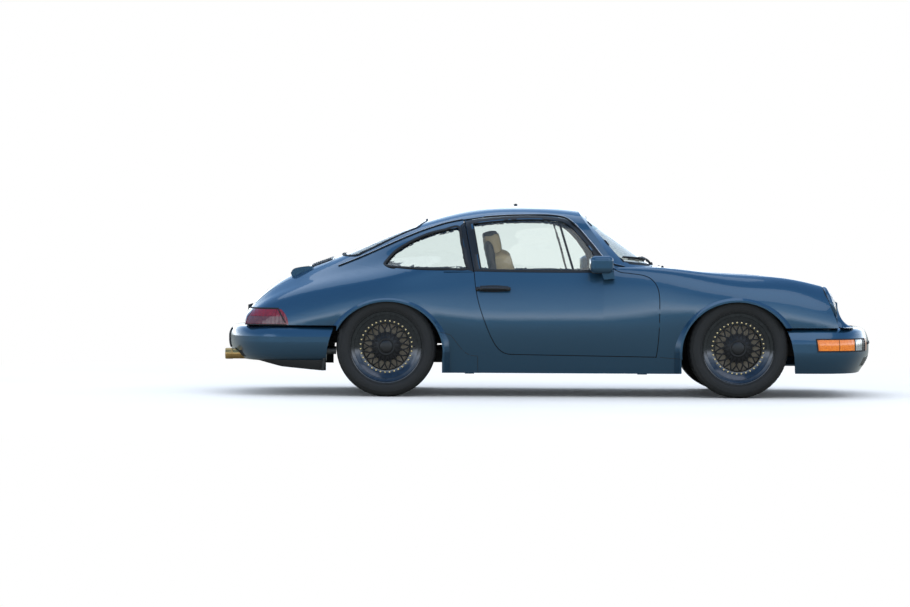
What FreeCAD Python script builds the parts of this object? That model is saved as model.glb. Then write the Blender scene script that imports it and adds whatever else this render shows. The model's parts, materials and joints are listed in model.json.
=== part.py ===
import FreeCAD, Part
import Sketcher
import math
import os
from FreeCAD import Vector

doc = FreeCAD.newDocument("coupe")
sheet = doc.addObject("Spreadsheet::Sheet", "Sizes")

SIZES = {
    # overall places of the wheels, in millimetres
    "front_axle_x": 1204, "rear_axle_x": -1068, "wheel_z": 323,
    "front_track_half": 670, "rear_track_half": 676, "kingpin_y": 580,
    # tyres and rims
    "tyre_radius": 323, "front_tyre_width": 205, "rear_tyre_width": 235,
    "bead_radius": 222, "rim_radius": 221.5, "rim_barrel": 196, "lip_radius": 236,
    "disc_radius": 168, "disc_thick": 26, "hub_radius": 75, "face_depth": 62, "face_thick": 26, "brake_radius": 150,
    "spoke_count": 12,
    # walls, gaps and fits
    "skin": 12, "frame_wall": 28, "door_wall": 62, "gap": 5, "seat": 0.4, "fit": 0.3, "ball_pin": 8, "hinge_pin": 10, "lid_pin": 14, "glass_wall": 5,
    "rear_frame_gap": 12,
    # underside and inside
    "floor_z": 155, "floor_thick": 30, "floor_half": 700, "tub_half": 384, "well_radius": 386,
    "tub_wall": 8, "tub_floor_z": 262, "firewall_x": 716, "wall_thick": 22,
    "belt_z": 803, "split_x": 330,
    # arches
    "front_arch_x": 1196, "rear_arch_x": -1062, "arch_z": 290, "arch_long": 358,
    "front_arch_high": 331, "rear_arch_high": 324, "flare_band": 46,
    "front_flare_y": 815, "rear_flare_y": 826,
    # axles, engine and exhaust
    "engine_long": 540, "engine_wide": 620, "engine_high": 280, "pipe_radius": 26, "tip_radius": 34,
    # small mounting places
    "jack_pad": 60, "tow_radius": 10, "tow_deep": 40, "plate_bolt": 3.2, "plate_pitch": 180,
}
for row, (name, value) in enumerate(SIZES.items(), start=1):
    sheet.set("A%d" % row, name)
    sheet.set("B%d" % row, str(value))
    sheet.setAlias("B%d" % row, name)
doc.recompute()


def size(name):
    return float(sheet.get(name))


gap = size("gap")
seat = size("seat")
fit = size("fit")
skin = size("skin")

# Body sections: x, then (y, z) of sill edge, low side, widest side and belt, then two more
# points on the way to the centre line, and the height of the centre line.
SECTION = ("x", "sill", "low", "side", "belt", "glass", "cant", "top")
CABIN = [
    (330, (738, 155), (768, 300), (787, 520), (742, 803), (672, 968), (550, 1136), 1196),
    (110, (738, 155), (769, 300), (788, 520), (742, 805), (672, 972), (554, 1160), 1235),
    (-150, (738, 155), (770, 300), (789, 520), (742, 806), (672, 976), (556, 1173), 1245),
    (-500, (738, 155), (770, 300), (792, 520), (744, 806), (668, 966), (549, 1152), 1228),
    (-800, (738, 155), (774, 300), (806, 530), (758, 790), (646, 926), (522, 1090), 1154),
    (-1068, (735, 160), (780, 300), (818, 540), (776, 752), (628, 868), (486, 1004), 1054),
    (-1425, (722, 168), (768, 300), (800, 500), (752, 690), (604, 784), (440, 862), 898),
    (-1722, (690, 190), (735, 300), (764, 460), (706, 622), (570, 690), (410, 746), 780),
    (-1886, (640, 215), (690, 310), (716, 430), (656, 556), (530, 606), (390, 642), 662),
    (-1985, (590, 235), (640, 310), (656, 420), (596, 500), (490, 526), (360, 542), 551),
]
FRONT = [
    (330, (738, 155), (768, 300), (787, 520), (742, 803), (664, 836), (420, 862), 872),
    (500, (738, 155), (768, 300), (787, 520), (745, 798), (652, 843), (420, 852), 864),
    (700, (738, 155), (768, 300), (788, 524), (750, 782), (640, 842), (424, 834), 850),
    (1000, (736, 155), (769, 300), (798, 540), (758, 738), (636, 812), (430, 786), 804),
    (1300, (734, 155), (770, 300), (802, 540), (762, 712), (612, 793), (424, 740), 762),
    (1560, (728, 158), (760, 300), (784, 480), (744, 680), (598, 768), (412, 684), 706),
    (1740, (712, 163), (742, 300), (764, 455), (726, 632), (586, 728), (402, 630), 650),
    (1870, (684, 170), (712, 300), (732, 430), (696, 590), (574, 684), (392, 576), 590),
    (2000, (630, 180), (655, 300), (668, 410), (640, 520), (548, 590), (380, 500), 508),
]
CROWN = 0.22
ABOVE_BELT = 1000
POD = [
    (330, (742, 803), (672, 968), (550, 1136), 1196),
    (780, (742, 803), (668, 955), (540, 1100), 1150),
]


def inward(points, amount):
    moved = []
    last = len(points) - 1
    for index, (y, z) in enumerate(points):
        before = points[max(index - 1, 0)]
        after = points[min(index + 1, last)]
        run = (after[0] - before[0], after[1] - before[1])
        if index == last:
            run = (-1.0, 0.0)
        length = math.hypot(run[0], run[1])
        moved.append((y - run[1] / length * amount, z + run[0] / length * amount))
    return moved


def run_through(rows, xs):
    """Surface through a row of like curves, one at each x."""
    degree = rows[0].Degree
    knots = rows[0].getKnots()
    counts = rows[0].getMultiplicities()
    columns = []
    for place in range(len(rows[0].getPoles())):
        line = Part.BSplineCurve()
        line.interpolate(Points=[row.getPoles()[place] for row in rows], Parameters=xs)
        columns.append(line)
    poles = [[column.getPoles()[step] for column in columns] for step in range(len(columns[0].getPoles()))]
    surface = Part.BSplineSurface()
    surface.buildFromPolesMultsKnots(poles, columns[0].getMultiplicities(), counts, columns[0].getKnots(),
                                     knots, False, False, columns[0].Degree, degree)
    return surface.toShape()


def closed_solid(sections, xs):
    """Solid whose sections are rings of curves, joined along x and closed flat at both ends."""
    faces = [run_through([section[place] for section in sections], xs) for place in range(len(sections[0]))]
    for section in (sections[0], sections[-1]):
        faces.append(Part.Face(Part.Wire(Part.__sortEdges__([curve.toShape() for curve in section]))))
    shell = Part.makeShell(faces)
    shell.sewShape()
    solid = Part.Solid(shell)
    if solid.Volume < 0:
        solid.reverse()
    return solid


def smooth(points, x, first=None, final=None):
    curve = Part.BSplineCurve()
    places = [Vector(x, y, z) for y, z in points]
    steps = [float(index) for index in range(len(places))]
    if first is None:
        curve.interpolate(Points=places, Parameters=steps)
    else:
        curve.interpolate(Points=places, Parameters=steps, InitialTangent=first, FinalTangent=final, Scale=False)
    return curve


def straight(a, b):
    line = Part.BSplineCurve()
    line.buildFromPolesMultsKnots([a, b], [2, 2], [0.0, 1.0], False, 1)
    return line


def whole_section(row, amount):
    x = row[0]
    crown = (row[6][0] / 2.0, row[7] - (row[7] - row[6][1]) * CROWN)
    half = inward(list(row[1:7]) + [crown, (0.0, row[7])], amount)
    half[0] = (row[1][0] - amount, row[1][1] + amount)
    half[7] = (0.0, row[7] - amount)
    run = Vector(0, half[4][0] - half[2][0], half[4][1] - half[2][1]) * 0.5
    start = Vector(0, half[1][0] - half[0][0], half[1][1] - half[0][1])
    side = half[:4]
    top = half[3:] + [(-y, z) for y, z in reversed(half[3:7])]
    left = smooth(side, x, start, run)
    over = smooth(top, x, run, Vector(0, run.y, -run.z))
    right = smooth([(-y, z) for y, z in side], x, Vector(0, -start.y, start.z), Vector(0, -run.y, run.z))
    base = straight(Vector(x, -half[0][0], half[0][1]), Vector(x, half[0][0], half[0][1]))
    return [left, over, right, base]


def side_section(row, amount):
    """Ring whose sides follow the body side at a depth, with straight walls above the belt."""
    x = row[0]
    half = inward(list(row[1:7]), amount)[:4]
    half[0] = (row[1][0] - amount, row[1][1] + amount)
    belt_y, belt_z = half[3]
    left = smooth(half, x)
    right = smooth([(-y, z) for y, z in half], x)
    corners = [Vector(x, belt_y, belt_z), Vector(x, belt_y, ABOVE_BELT), Vector(x, -belt_y, ABOVE_BELT),
               Vector(x, -belt_y, belt_z)]
    walls = [straight(a, b) for a, b in zip(corners, corners[1:])]
    base = straight(Vector(x, -half[0][0], half[0][1]), Vector(x, half[0][0], half[0][1]))
    return [left] + walls + [right, base]


def pod_section(row, amount, drop):
    x = row[0]
    crown = (row[3][0] / 2.0, row[4] - (row[4] - row[3][1]) * CROWN)
    half = inward(list(row[1:4]) + [crown, (0.0, row[4])], amount)
    half[4] = (0.0, row[4] - amount)
    top = half + [(-y, z) for y, z in reversed(half[:4])]
    low = half[0][1] - drop
    corners = [Vector(x, -half[0][0], half[0][1]), Vector(x, -half[0][0] + 90, low),
               Vector(x, half[0][0] - 90, low), Vector(x, half[0][0], half[0][1])]
    return [smooth(top, x)] + [straight(corners[i], corners[i + 1]) for i in range(3)]


def moved_rows(rows, amount, low_end, high_end):
    kept = [list(row) for row in sorted(rows, key=lambda row: row[0])]
    kept[0][0] += amount if low_end else 0.0
    kept[-1][0] -= amount if high_end else 0.0
    return kept


def loft(rows, section, *extra):
    xs = [float(row[0]) for row in rows]
    if len(rows) == 2:
        middle = [(a + b) / 2.0 if not isinstance(a, tuple) else tuple((p + q) / 2.0 for p, q in zip(a, b))
                  for a, b in zip(rows[0], rows[1])]
        rows = [rows[0], middle, rows[1]]
        xs = [float(row[0]) for row in rows]
    return closed_solid([section(row, *extra) for row in rows], xs)


# The windscreen is a ruled surface between two bows, the centre line leading the pillars.
SCREEN = (("z", "middle_x", "side_x", "side_y"),
          (700, 906, 511, 740), (1300, 72, 60, 480))


def screen_cutter(amount):
    back = amount * 0.583
    down = amount * 0.812
    wide = 830.0
    far = 3000.0
    wires = []
    for z, middle, side_x, side_y in SCREEN[1:]:
        depth = middle - side_x
        radius = (side_y ** 2 + depth ** 2) / (2.0 * depth)
        end_x = middle - radius + math.sqrt(radius ** 2 - wide ** 2) - back
        height = z - down
        bow = Part.Arc(Vector(end_x, -wide, height), Vector(middle - back, 0, height),
                       Vector(end_x, wide, height)).toShape()
        corners = [Vector(end_x, wide, height), Vector(far, wide, height),
                   Vector(far, -wide, height), Vector(end_x, -wide, height)]
        lines = [Part.makeLine(corners[i], corners[i + 1]) for i in range(3)]
        wires.append(Part.Wire([bow] + lines))
    return Part.makeLoft(wires, True, True)


def cabin_solid(amount, rows=CABIN, back=True):
    cabin = loft(moved_rows(rows, amount, back, False), whole_section, amount)
    pod = loft(POD, pod_section, amount, 90.0)
    cutter = screen_cutter(amount)
    return cabin.cut(cutter).fuse(pod.cut(cutter))


def nose_solid(amount, rows=FRONT, front=True):
    solid = loft(moved_rows(rows, amount, False, front), whole_section, amount)
    if front:
        solid = solid.cut(lamp_cutter(amount))
    return solid


def outline(segments, grow=0.0):
    flat = []
    for segment in segments:
        flat.extend(segment[:-1])
    turn = sum(a[0] * b[1] - b[0] * a[1] for a, b in zip(flat, flat[1:] + flat[:1]))
    sign = 1.0 if turn > 0 else -1.0
    shifted = []
    for index, point in enumerate(flat):
        before = flat[index - 1]
        after = flat[(index + 1) % len(flat)]
        one = (point[0] - before[0], point[1] - before[1])
        two = (after[0] - point[0], after[1] - point[1])
        one = [v / math.hypot(*one) for v in one]
        two = [v / math.hypot(*two) for v in two]
        out = (sign * (one[1] + two[1]), -sign * (one[0] + two[0]))
        scale = grow * 2.0 / (out[0] ** 2 + out[1] ** 2)
        shifted.append((point[0] + out[0] * scale, point[1] + out[1] * scale))
    runs = []
    place = 0
    for segment in segments:
        count = len(segment) - 1
        runs.append([shifted[(place + step) % len(shifted)] for step in range(count + 1)])
        place += count
    return runs


def prism(segments, plane, low, high, grow=0.0):
    spots = {"xz": lambda p: Vector(p[0], low, p[1]), "xy": lambda p: Vector(p[0], p[1], low),
             "yz": lambda p: Vector(low, p[0], p[1])}[plane]
    way = {"xz": Vector(0, high - low, 0), "xy": Vector(0, 0, high - low), "yz": Vector(high - low, 0, 0)}[plane]
    edges = []
    for run in outline(segments, grow):
        places = [spots(point) for point in run]
        if len(places) == 2:
            edges.append(Part.makeLine(places[0], places[1]))
        else:
            curve = Part.BSplineCurve()
            curve.interpolate(places)
            edges.append(curve.toShape())
    return Part.Face(Part.Wire(edges)).extrude(way)


def both_sides(shape):
    """The right half of a shape and its mirror image in one."""
    half = shape.common(box(-2300, 2300, -1000, 0, 0, 1500))
    return half.fuse(flip(half)).removeSplitter()


def box(x0, x1, y0, y1, z0, z1):
    return Part.makeBox(x1 - x0, y1 - y0, z1 - z0, Vector(x0, y0, z0))


def cylinder(centre, axis, radius, length):
    return Part.makeCylinder(radius, length, Vector(*centre), Vector(*axis))


def flip(shape):
    return shape.mirror(Vector(0, 0, 0), Vector(0, 1, 0))


# Headlamp face: a plane leaning back, with the lamp in the middle of it.
LAMP = {"x": 1795, "y": 592, "z": 612, "lean": 21.0, "radius": 102, "ring": 113, "inner_y": 462, "lip": 26, "rise": 26}
LEAN = math.radians(LAMP["lean"])
LAMP_WAY = Vector(math.cos(LEAN), 0, math.sin(LEAN))


def lamp_cutter(amount):
    base = Vector(LAMP["x"], 0, LAMP["z"]) - LAMP_WAY * amount
    blocks = []
    for side in (-1, 1):
        block = Part.makeBox(600, 500, 900, Vector(0, LAMP["inner_y"] if side > 0 else -LAMP["inner_y"] - 500, -450))
        block.rotate(Vector(0, 0, 0), Vector(0, 1, 0), -LAMP["lean"])
        block.translate(base)
        if amount:
            block.translate(Vector(0, -side * amount, 0))
        blocks.append(block)
    return blocks[0].fuse(blocks[1])


DOOR = [
    [(-500, 803), (-493, 724), (-471, 608), (-428, 479), (-378, 365), (-335, 307), (-262, 279)],
    [(-262, 279), (672, 266)],
    [(672, 266), (688, 420), (691, 573), (688, 669), (667, 733), (626, 773), (560, 793), (483, 803)],
    [(483, 803), (392, 834), (346, 884), (244, 1014), (156, 1108)],
    [(156, 1108), (86, 1150), (-47, 1170), (-263, 1168), (-478, 1148), (-562, 1134)],
    [(-562, 1136), (-500, 803)],
]
DOOR_WINDOW = [
    [(-458, 820), (292, 820)],
    [(292, 820), (276, 910), (196, 1028), (126, 1102), (56, 1137)],
    [(56, 1137), (-47, 1149), (-263, 1146), (-478, 1125), (-514, 1119)],
    [(-514, 1119), (-458, 820)],
]
QUARTER_WINDOW = [
    [(-600, 1094), (-700, 1078), (-800, 1052), (-910, 1003), (-1011, 941), (-1074, 872)],
    [(-1074, 872), (-1085, 850), (-1070, 836), (-1011, 829)],
    [(-1011, 829), (-824, 817), (-546, 820)],
    [(-546, 820), (-600, 1094)],
]
SCREEN_HOLE = [
    [(-596, 872), (-300, 856), (0, 850), (300, 856), (596, 872)],
    [(596, 872), (604, 900), (582, 985), (520, 1110), (492, 1146)],
    [(492, 1146), (300, 1176), (0, 1188), (-300, 1176), (-492, 1146)],
    [(-492, 1146), (-520, 1110), (-582, 985), (-604, 900), (-596, 872)],
]
REAR_HOLE = [
    [(-470, 900), (-250, 908), (0, 911), (250, 908), (470, 900)],
    [(470, 900), (486, 930), (482, 985), (462, 1060), (436, 1096)],
    [(436, 1096), (250, 1128), (0, 1142), (-250, 1128), (-436, 1096)],
    [(-436, 1096), (-462, 1060), (-482, 985), (-486, 930), (-470, 900)],
]
ENGINE_LID = [
    [(-1424, -300), (-1416, 0), (-1424, 300)],
    [(-1424, 300), (-1430, 380), (-1470, 424), (-1560, 436)],
    [(-1560, 436), (-1760, 424), (-1990, 396)],
    [(-1990, 396), (-1990, -396)],
    [(-1990, -396), (-1760, -424), (-1560, -436)],
    [(-1560, -436), (-1470, -424), (-1430, -380), (-1424, -300)],
]
FRONT_LID = [
    [(700, 330), (716, 0), (700, -330)],
    [(700, -330), (690, -430), (708, -476), (760, -492)],
    [(760, -492), (1200, -452), (1600, -412), (1860, -390)],
    [(1860, -390), (1930, -366), (1968, -300)],
    [(1968, -300), (1984, 0), (1968, 300)],
    [(1968, 300), (1930, 366), (1860, 390)],
    [(1860, 390), (1600, 412), (1200, 452), (760, 492)],
    [(760, 492), (708, 476), (690, 430), (700, 330)],
]
SILL = [
    [(-700, 140), (838, 140)],
    [(838, 140), (834, 252)],
    [(834, 252), (690, 262)],
    [(690, 262), (-262, 276)],
    [(-262, 276), (-479, 264)],
    [(-479, 264), (-530, 272), (-578, 306), (-640, 384), (-680, 408), (-760, 416)],
    [(-760, 416), (-760, 140)],
    [(-760, 140), (-700, 140)],
]
BLADE = [
    [(-1560, 838), (-1610, 834), (-1660, 827), (-1690, 814), (-1700, 796), (-1694, 770)],
    [(-1694, 770), (-1690, 700)],
    [(-1690, 700), (-1560, 700)],
    [(-1560, 700), (-1560, 838)],
]
LAMP_BAND = [
    [(-1700, 461), (-1716, 520), (-1752, 561)],
    [(-1752, 561), (-2100, 566)],
    [(-2100, 566), (-2100, 461)],
    [(-2100, 461), (-1700, 461)],
]
# Top edge of the quarter panel, under the side window and the sail.
SAIL = [
    [(-470, 806), (-824, 803), (-1020, 814), (-1180, 836), (-1425, 872)],
    [(-1425, 872), (-2100, 872)],
    [(-2100, 872), (-2100, 100)],
    [(-2100, 100), (330, 100)],
    [(330, 100), (330, 275)],
    [(330, 275), (-470, 806)],
]
# The nose ends between the headlamps in a low upright plate with a sloping shelf over the bumper.
NOSE_END = {"x": 1876, "half": 458, "low": 456}
NOSE_PLATE = [
    [(1880.4, 720), (1892, 720)],
    [(1892, 720), (1889, 508)],
    [(1889, 508), (1996, 467)],
    [(1996, 467), (1996, 457)],
    [(1996, 457), (1880.4, 498)],
    [(1880.4, 498), (1880.4, 720)],
]
BELOW_BUMPER = {"front_x": 1488, "front_z": 456, "rear_x": -1388, "rear_z": 458}


FLARES = (("x", "outer_y", "high", "body_y"),
          ("front_arch_x", "front_flare_y", "front_arch_high", 772),
          ("rear_arch_x", "rear_flare_y", "rear_arch_high", 786))


FLARE_FOOT = {"z": 160, "tuck": 30}


def ellipse_wire(x, y, z, long, high):
    curve = Part.Ellipse(Vector(x + long, y, z), Vector(x, y, z + high), Vector(x, y, z))
    if high > long:
        curve = Part.Ellipse(Vector(x, y, z + high), Vector(x + long, y, z), Vector(x, y, z))
    return Part.Wire(curve.toShape())


def arch_hole(row):
    x = size(row[0])
    z = size("arch_z")
    long = size("arch_long")
    disc = Part.Face(ellipse_wire(x, -905, z, long, size(row[2]))).extrude(Vector(0, 405, 0))
    foot = box(x - long + 4, x + long - 4, -905, -500, 60, z)
    return disc.fuse(foot)


def flare(row, inset):
    x = size(row[0])
    z = size("arch_z")
    long = size("arch_long")
    high = size(row[2])
    band = size("flare_band") - inset
    lip = 12 - inset / 2
    wide = ellipse_wire(x, -row[3] + inset, z, long + band, high + band)
    narrow = ellipse_wire(x, -size(row[1]) + inset, z, long + lip, high + lip)
    ring = Part.makeLoft([wide, narrow], True, True).common(box(x - 600, x + 600, -1000, 0, z, 900))
    rings = []
    for height, tuck in ((z, 0.0), (FLARE_FOOT["z"], FLARE_FOOT["tuck"])):
        corners = [Vector(x - long - band, -row[3] + inset + tuck, height),
                   Vector(x - long - lip, -size(row[1]) + inset + tuck, height),
                   Vector(x + long + lip, -size(row[1]) + inset + tuck, height),
                   Vector(x + long + band, -row[3] + inset + tuck, height)]
        rings.append(Part.makePolygon(corners + corners[:1]))
    return ring.fuse(Part.makeLoft(rings, True, True))


front_arch = arch_hole(FLARES[1])
rear_arch = arch_hole(FLARES[2])
front_well = cylinder((size("front_axle_x"), -size("tub_half") - 1, size("wheel_z")), (0, -1, 0),
                      size("well_radius"), 405)
rear_well = cylinder((size("rear_axle_x"), -530, size("wheel_z")), (0, -1, 0), size("well_radius") - 20, 270)

outer_cabin = cabin_solid(0)
outer_nose = nose_solid(0)
skin_cabin = cabin_solid(skin)
skin_nose = nose_solid(skin)
frame_cabin = cabin_solid(size("frame_wall"))
frame_nose = nose_solid(size("frame_wall"))
door_rows = [row for row in CABIN if row[0] >= -800]
door_cabin = cabin_solid(size("door_wall"), door_rows, False)
front_rows = [(FRONT[0][0] - 30,) + FRONT[0][1:]] + [row for row in FRONT if row[0] <= 1000]
door_nose = loft(front_rows, side_section, size("door_wall"))
liner_cabin = cabin_solid(size("frame_wall") + seat)
liner_nose = nose_solid(skin + seat)

thin_cabin = outer_cabin.cut(skin_cabin)
thin_nose = outer_nose.cut(skin_nose)
frame_wall = outer_cabin.cut(frame_cabin)
lid_wall = outer_nose.cut(frame_nose)
split = size("split_x")
belt = size("belt_z")
right = box(-2300, 2300, -1000, 0, 0, 1500)
ahead = screen_cutter(-seat)

door_whole = prism(DOOR, "xz", -1000, -500)
door_space = prism(DOOR, "xz", -1000, -490, gap)
rear_gap = box(-700, -440, -1000, -490, belt + 4, 1200).common(prism(DOOR, "xz", -1000, -490, size("rear_frame_gap")))
door_space = door_space.fuse(rear_gap)
sill_zone = prism(SILL, "xz", -1000, -size("floor_half"))
sail_zone = prism(SAIL, "xz", -1000, 0)
lamp_zone = prism(LAMP_BAND, "xz", -1000, -336)
screen_hole = prism(SCREEN_HOLE, "yz", -60, 1000)
rear_hole = prism(REAR_HOLE, "yz", -1480, -640)
engine_hole = prism(ENGINE_LID, "xy", 592, 1000, gap)
front_hole = prism(FRONT_LID, "xy", 470, 1000, gap)
front_bumper_zone = box(BELOW_BUMPER["front_x"], 2300, -1000, 0, 0, BELOW_BUMPER["front_z"])
rear_bumper_zone = box(-2300, BELOW_BUMPER["rear_x"], -1000, 0, 0, BELOW_BUMPER["rear_z"])
low_floor = size("floor_z") + size("door_wall")

# Hinge barrels: part of a cylinder round each hinge line, kept inside the outer surface.
HINGES = {"door": {"x": 691, "y": -788.5, "spots": ((455, 485), (545, 575)), "radius": size("hinge_pin")},
          "front_lid": {"x": 688, "z": 845, "spots": ((-425, -395), (395, 425)), "radius": size("lid_pin")},
          "engine_lid": {"x": -1414, "z": 902, "spots": ((-150, -120), (120, 150)), "radius": size("hinge_pin")}}


def barrels(name, grow):
    row = HINGES[name]
    pieces = []
    for low, high in row["spots"]:
        if name == "door":
            place, way = (row["x"], row["y"], low - grow), (0, 0, 1)
        else:
            place, way = (row["x"], low - grow, row["z"]), (0, 1, 0)
        pieces.append(cylinder(place, way, row["radius"] + grow, high - low + 2 * grow))
    return pieces[0].fuse(pieces[1])


nodes = {}


def biggest(shape):
    return max(shape.Solids, key=lambda piece: piece.Volume)


def solid_of(shape, low=2000.0):
    kept = [piece for piece in shape.Solids if piece.Volume > low]
    if len(kept) == 1:
        return kept[0]
    return Part.makeCompound(kept)


# Right side panels
front_shell = outer_nose.fuse(flare(FLARES[1], 0)).common(right)
front_core = skin_nose.fuse(flare(FLARES[1], skin)).common(right)
fender = front_shell.cut(front_core)
fender = fender.cut(door_space).cut(sill_zone).cut(front_arch).cut(front_bumper_zone)
fender = fender.cut(box(300, 2300, -1000, 0, 0, 250)).cut(front_hole)
fender = fender.cut(box(300, 760, -450, 0, 0, 1000)).cut(box(760, 2300, -330, 0, 0, 1000))
fender = fender.cut(cabin_solid(-seat).common(box(300, 800, -1000, 0, belt, 1400)))
lamp_middle = Vector(LAMP["x"], -LAMP["y"], LAMP["z"])
fender = fender.cut(Part.makeCylinder(LAMP["radius"] + seat, 300, lamp_middle - LAMP_WAY * 200, LAMP_WAY))
nose_cut = box(NOSE_END["x"], 2300, -NOSE_END["half"], NOSE_END["half"], NOSE_END["low"], 1000)
nodes["front_fender_right"] = solid_of(fender.cut(barrels("door", fit)).cut(nose_cut))

rear_shell = outer_cabin.fuse(flare(FLARES[2], 0)).common(right)
rear_core = skin_cabin.fuse(flare(FLARES[2], skin)).common(right)
quarter = rear_shell.cut(rear_core).common(sail_zone)
quarter = quarter.cut(door_space).cut(sill_zone).cut(rear_arch).cut(rear_bumper_zone)
quarter = quarter.cut(lamp_zone).cut(engine_hole).cut(box(-2300, 400, -434, 0, 0, 700))
quarter = quarter.cut(box(-2300, 400, -1000, 0, 0, 240))
nodes["quarter_right"] = solid_of(quarter)

sill = outer_cabin.fuse(flare(FLARES[2], 0)).cut(door_cabin)
sill = sill.fuse(outer_nose.fuse(flare(FLARES[1], 0)).cut(door_nose)).common(sill_zone)
sill = sill.cut(front_arch).cut(rear_arch).cut(rear_well).cut(front_well).cut(door_space)
nodes["sills"] = Part.makeCompound([solid_of(sill), flip(solid_of(sill))])

rear_wall = outer_cabin.cut(door_cabin).common(box(-800, split, -1000, 0, 200, belt))
front_wall = outer_nose.cut(door_nose).common(box(split, 800, -1000, -640, 200, 900))
door = rear_wall.common(door_whole).fuse(front_wall.common(door_whole))
door_top = frame_wall.common(door_whole).common(box(-700, 500, -1000, 0, belt, 1300))
door = door.fuse(door_top).cut(prism(DOOR_WINDOW, "xz", -1000, -490))
nodes["door_right"] = biggest(biggest(door).fuse(barrels("door", 0).common(outer_nose)))

lamp = solid_of(frame_wall.common(prism(LAMP_BAND, "xz", -1000, -336, -seat)).common(right))
nodes["tail_lamps"] = Part.makeCompound([lamp, flip(lamp)])

# Middle panels
both_doors = door_space.fuse(flip(door_space))
roof = frame_wall.cut(barrels("engine_lid", fit)).cut(prism(SAIL, "xz", -1000, 1000, 0)).cut(both_doors)
roof = roof.cut(screen_hole).cut(rear_hole)
window_hole = prism(QUARTER_WINDOW, "xz", -1000, 1000)
roof = roof.cut(window_hole).cut(engine_hole).cut(outer_nose).cut(box(-700, 900, -1000, 1000, 0, belt + gap))
nodes["roof_frame"] = solid_of(roof)
engine_lid = frame_wall.common(prism(ENGINE_LID, "xy", 597, 1000))
blade = prism(BLADE, "xz", -384, 384).cut(skin_cabin)
engine_lid = biggest(engine_lid).fuse(barrels("engine_lid", 0).common(outer_cabin)).fuse(biggest(blade))
nodes["engine_lid"] = biggest(engine_lid)
front_lid = lid_wall.common(prism(FRONT_LID, "xy", 475, 1000)).cut(nose_cut)
front_lid = biggest(front_lid).fuse(barrels("front_lid", 0).common(outer_nose))
nodes["front_lid"] = biggest(front_lid)
tail = frame_wall.common(box(-2100, -1800, -434, 434, BELOW_BUMPER["rear_z"], 592))
tail = tail.cut(lamp_zone).cut(flip(lamp_zone))
nodes["rear_panel"] = solid_of(tail)
cowl = thin_nose.common(box(300, 800, -450, 450, 700, 1000)).cut(front_hole)
cowl = cowl.common(ahead).cut(barrels("front_lid", fit))
nodes["cowl_panel"] = solid_of(cowl)
nose_strip = prism(NOSE_PLATE, "xz", -NOSE_END["half"] + fit, NOSE_END["half"] - fit)
nodes["nose_panel"] = solid_of(nose_strip.common(outer_nose))

# Glass shell: one thin skin inside the frame, cut by each window outline.
glass_set = 9.0
glass_shell = cabin_solid(glass_set).cut(cabin_solid(glass_set + size("glass_wall")))
nodes["door_glass_right"] = solid_of(glass_shell.common(prism(DOOR_WINDOW, "xz", -1000, -300, -seat)))
nodes["windscreen"] = solid_of(glass_shell.common(prism(SCREEN_HOLE, "yz", -60, 1000, -seat)))
rear_pane = solid_of(glass_shell.common(prism(REAR_HOLE, "yz", -1480, -640, -seat)))
quarter_pane = solid_of(glass_shell.common(prism(QUARTER_WINDOW, "xz", -1000, -300, -seat)))
nodes["fixed_glass"] = Part.makeCompound([rear_pane, quarter_pane, flip(quarter_pane)])

BUMPER_STEPS = 16
FRONT_PATH = [(1504, 797), (1650, 794), (1790, 778), (1920, 712), (2024, 566), (2090, 320), (2123, 0)]
REAR_PATH = [(-1412, 806), (-1580, 803), (-1750, 788), (-1900, 726), (-2020, 580), (-2092, 326), (-2124, 0)]
FRONT_SHAPE = [
    [(-62, 160), (-26, 218), (-6, 262), (0, 300)],
    [(0, 300), (0, 352)],
    [(0, 352), (-8, 390), (-24, 426)],
    [(-24, 426), (-52, 446), (-104, 456)],
    [(-104, 456), (-104, 444)],
    [(-104, 444), (-60, 432), (-36, 408)],
    [(-36, 408), (-16, 352)],
    [(-16, 352), (-16, 300)],
    [(-16, 300), (-42, 222), (-74, 172)],
    [(-74, 172), (-62, 160)],
]
REAR_SHAPE = [
    [(-92, 226), (-40, 252), (-10, 300), (0, 350)],
    [(0, 350), (0, 384)],
    [(0, 384), (-8, 410), (-22, 432)],
    [(-22, 432), (-50, 447), (-104, 454)],
    [(-104, 454), (-104, 442)],
    [(-104, 442), (-60, 432), (-36, 412)],
    [(-36, 412), (-16, 384)],
    [(-16, 384), (-16, 350)],
    [(-16, 350), (-30, 304), (-56, 266), (-98, 240)],
    [(-98, 240), (-92, 226)],
]


def bumper(path, shape):
    places = [Vector(x, -y, 0) for x, y in path] + [Vector(x, y, 0) for x, y in reversed(path[:-1])]
    line = Part.BSplineCurve()
    line.interpolate(places)
    first = line.FirstParameter
    share = (line.LastParameter - first) / BUMPER_STEPS
    flat = []
    for run in shape:
        if len(run) == 2:
            flat.append(straight(Vector(0, *run[0]), Vector(0, *run[1])))
        else:
            flat.append(smooth(run, 0))
    sections = []
    for step in range(BUMPER_STEPS + 1):
        spot = line.value(first + step * share)
        way = Vector(line.tangent(first + step * share)[0])
        side = Vector(way.y, -way.x, 0)
        if path[0][0] < 0:
            side = side * -1
        ring = []
        for curve in flat:
            poles = [spot + side * pole.y + Vector(0, 0, pole.z) for pole in curve.getPoles()]
            copy = Part.BSplineCurve()
            copy.buildFromPolesMultsKnots(poles, curve.getMultiplicities(), curve.getKnots(), False, curve.Degree)
            ring.append(copy)
        sections.append(ring)
    return closed_solid(sections, [float(step) for step in range(BUMPER_STEPS + 1)])


def arms(x0, x1, z0, z1):
    return box(x0, x1, -330, -250, z0, z1).fuse(box(x0, x1, 250, 330, z0, z1))


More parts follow.
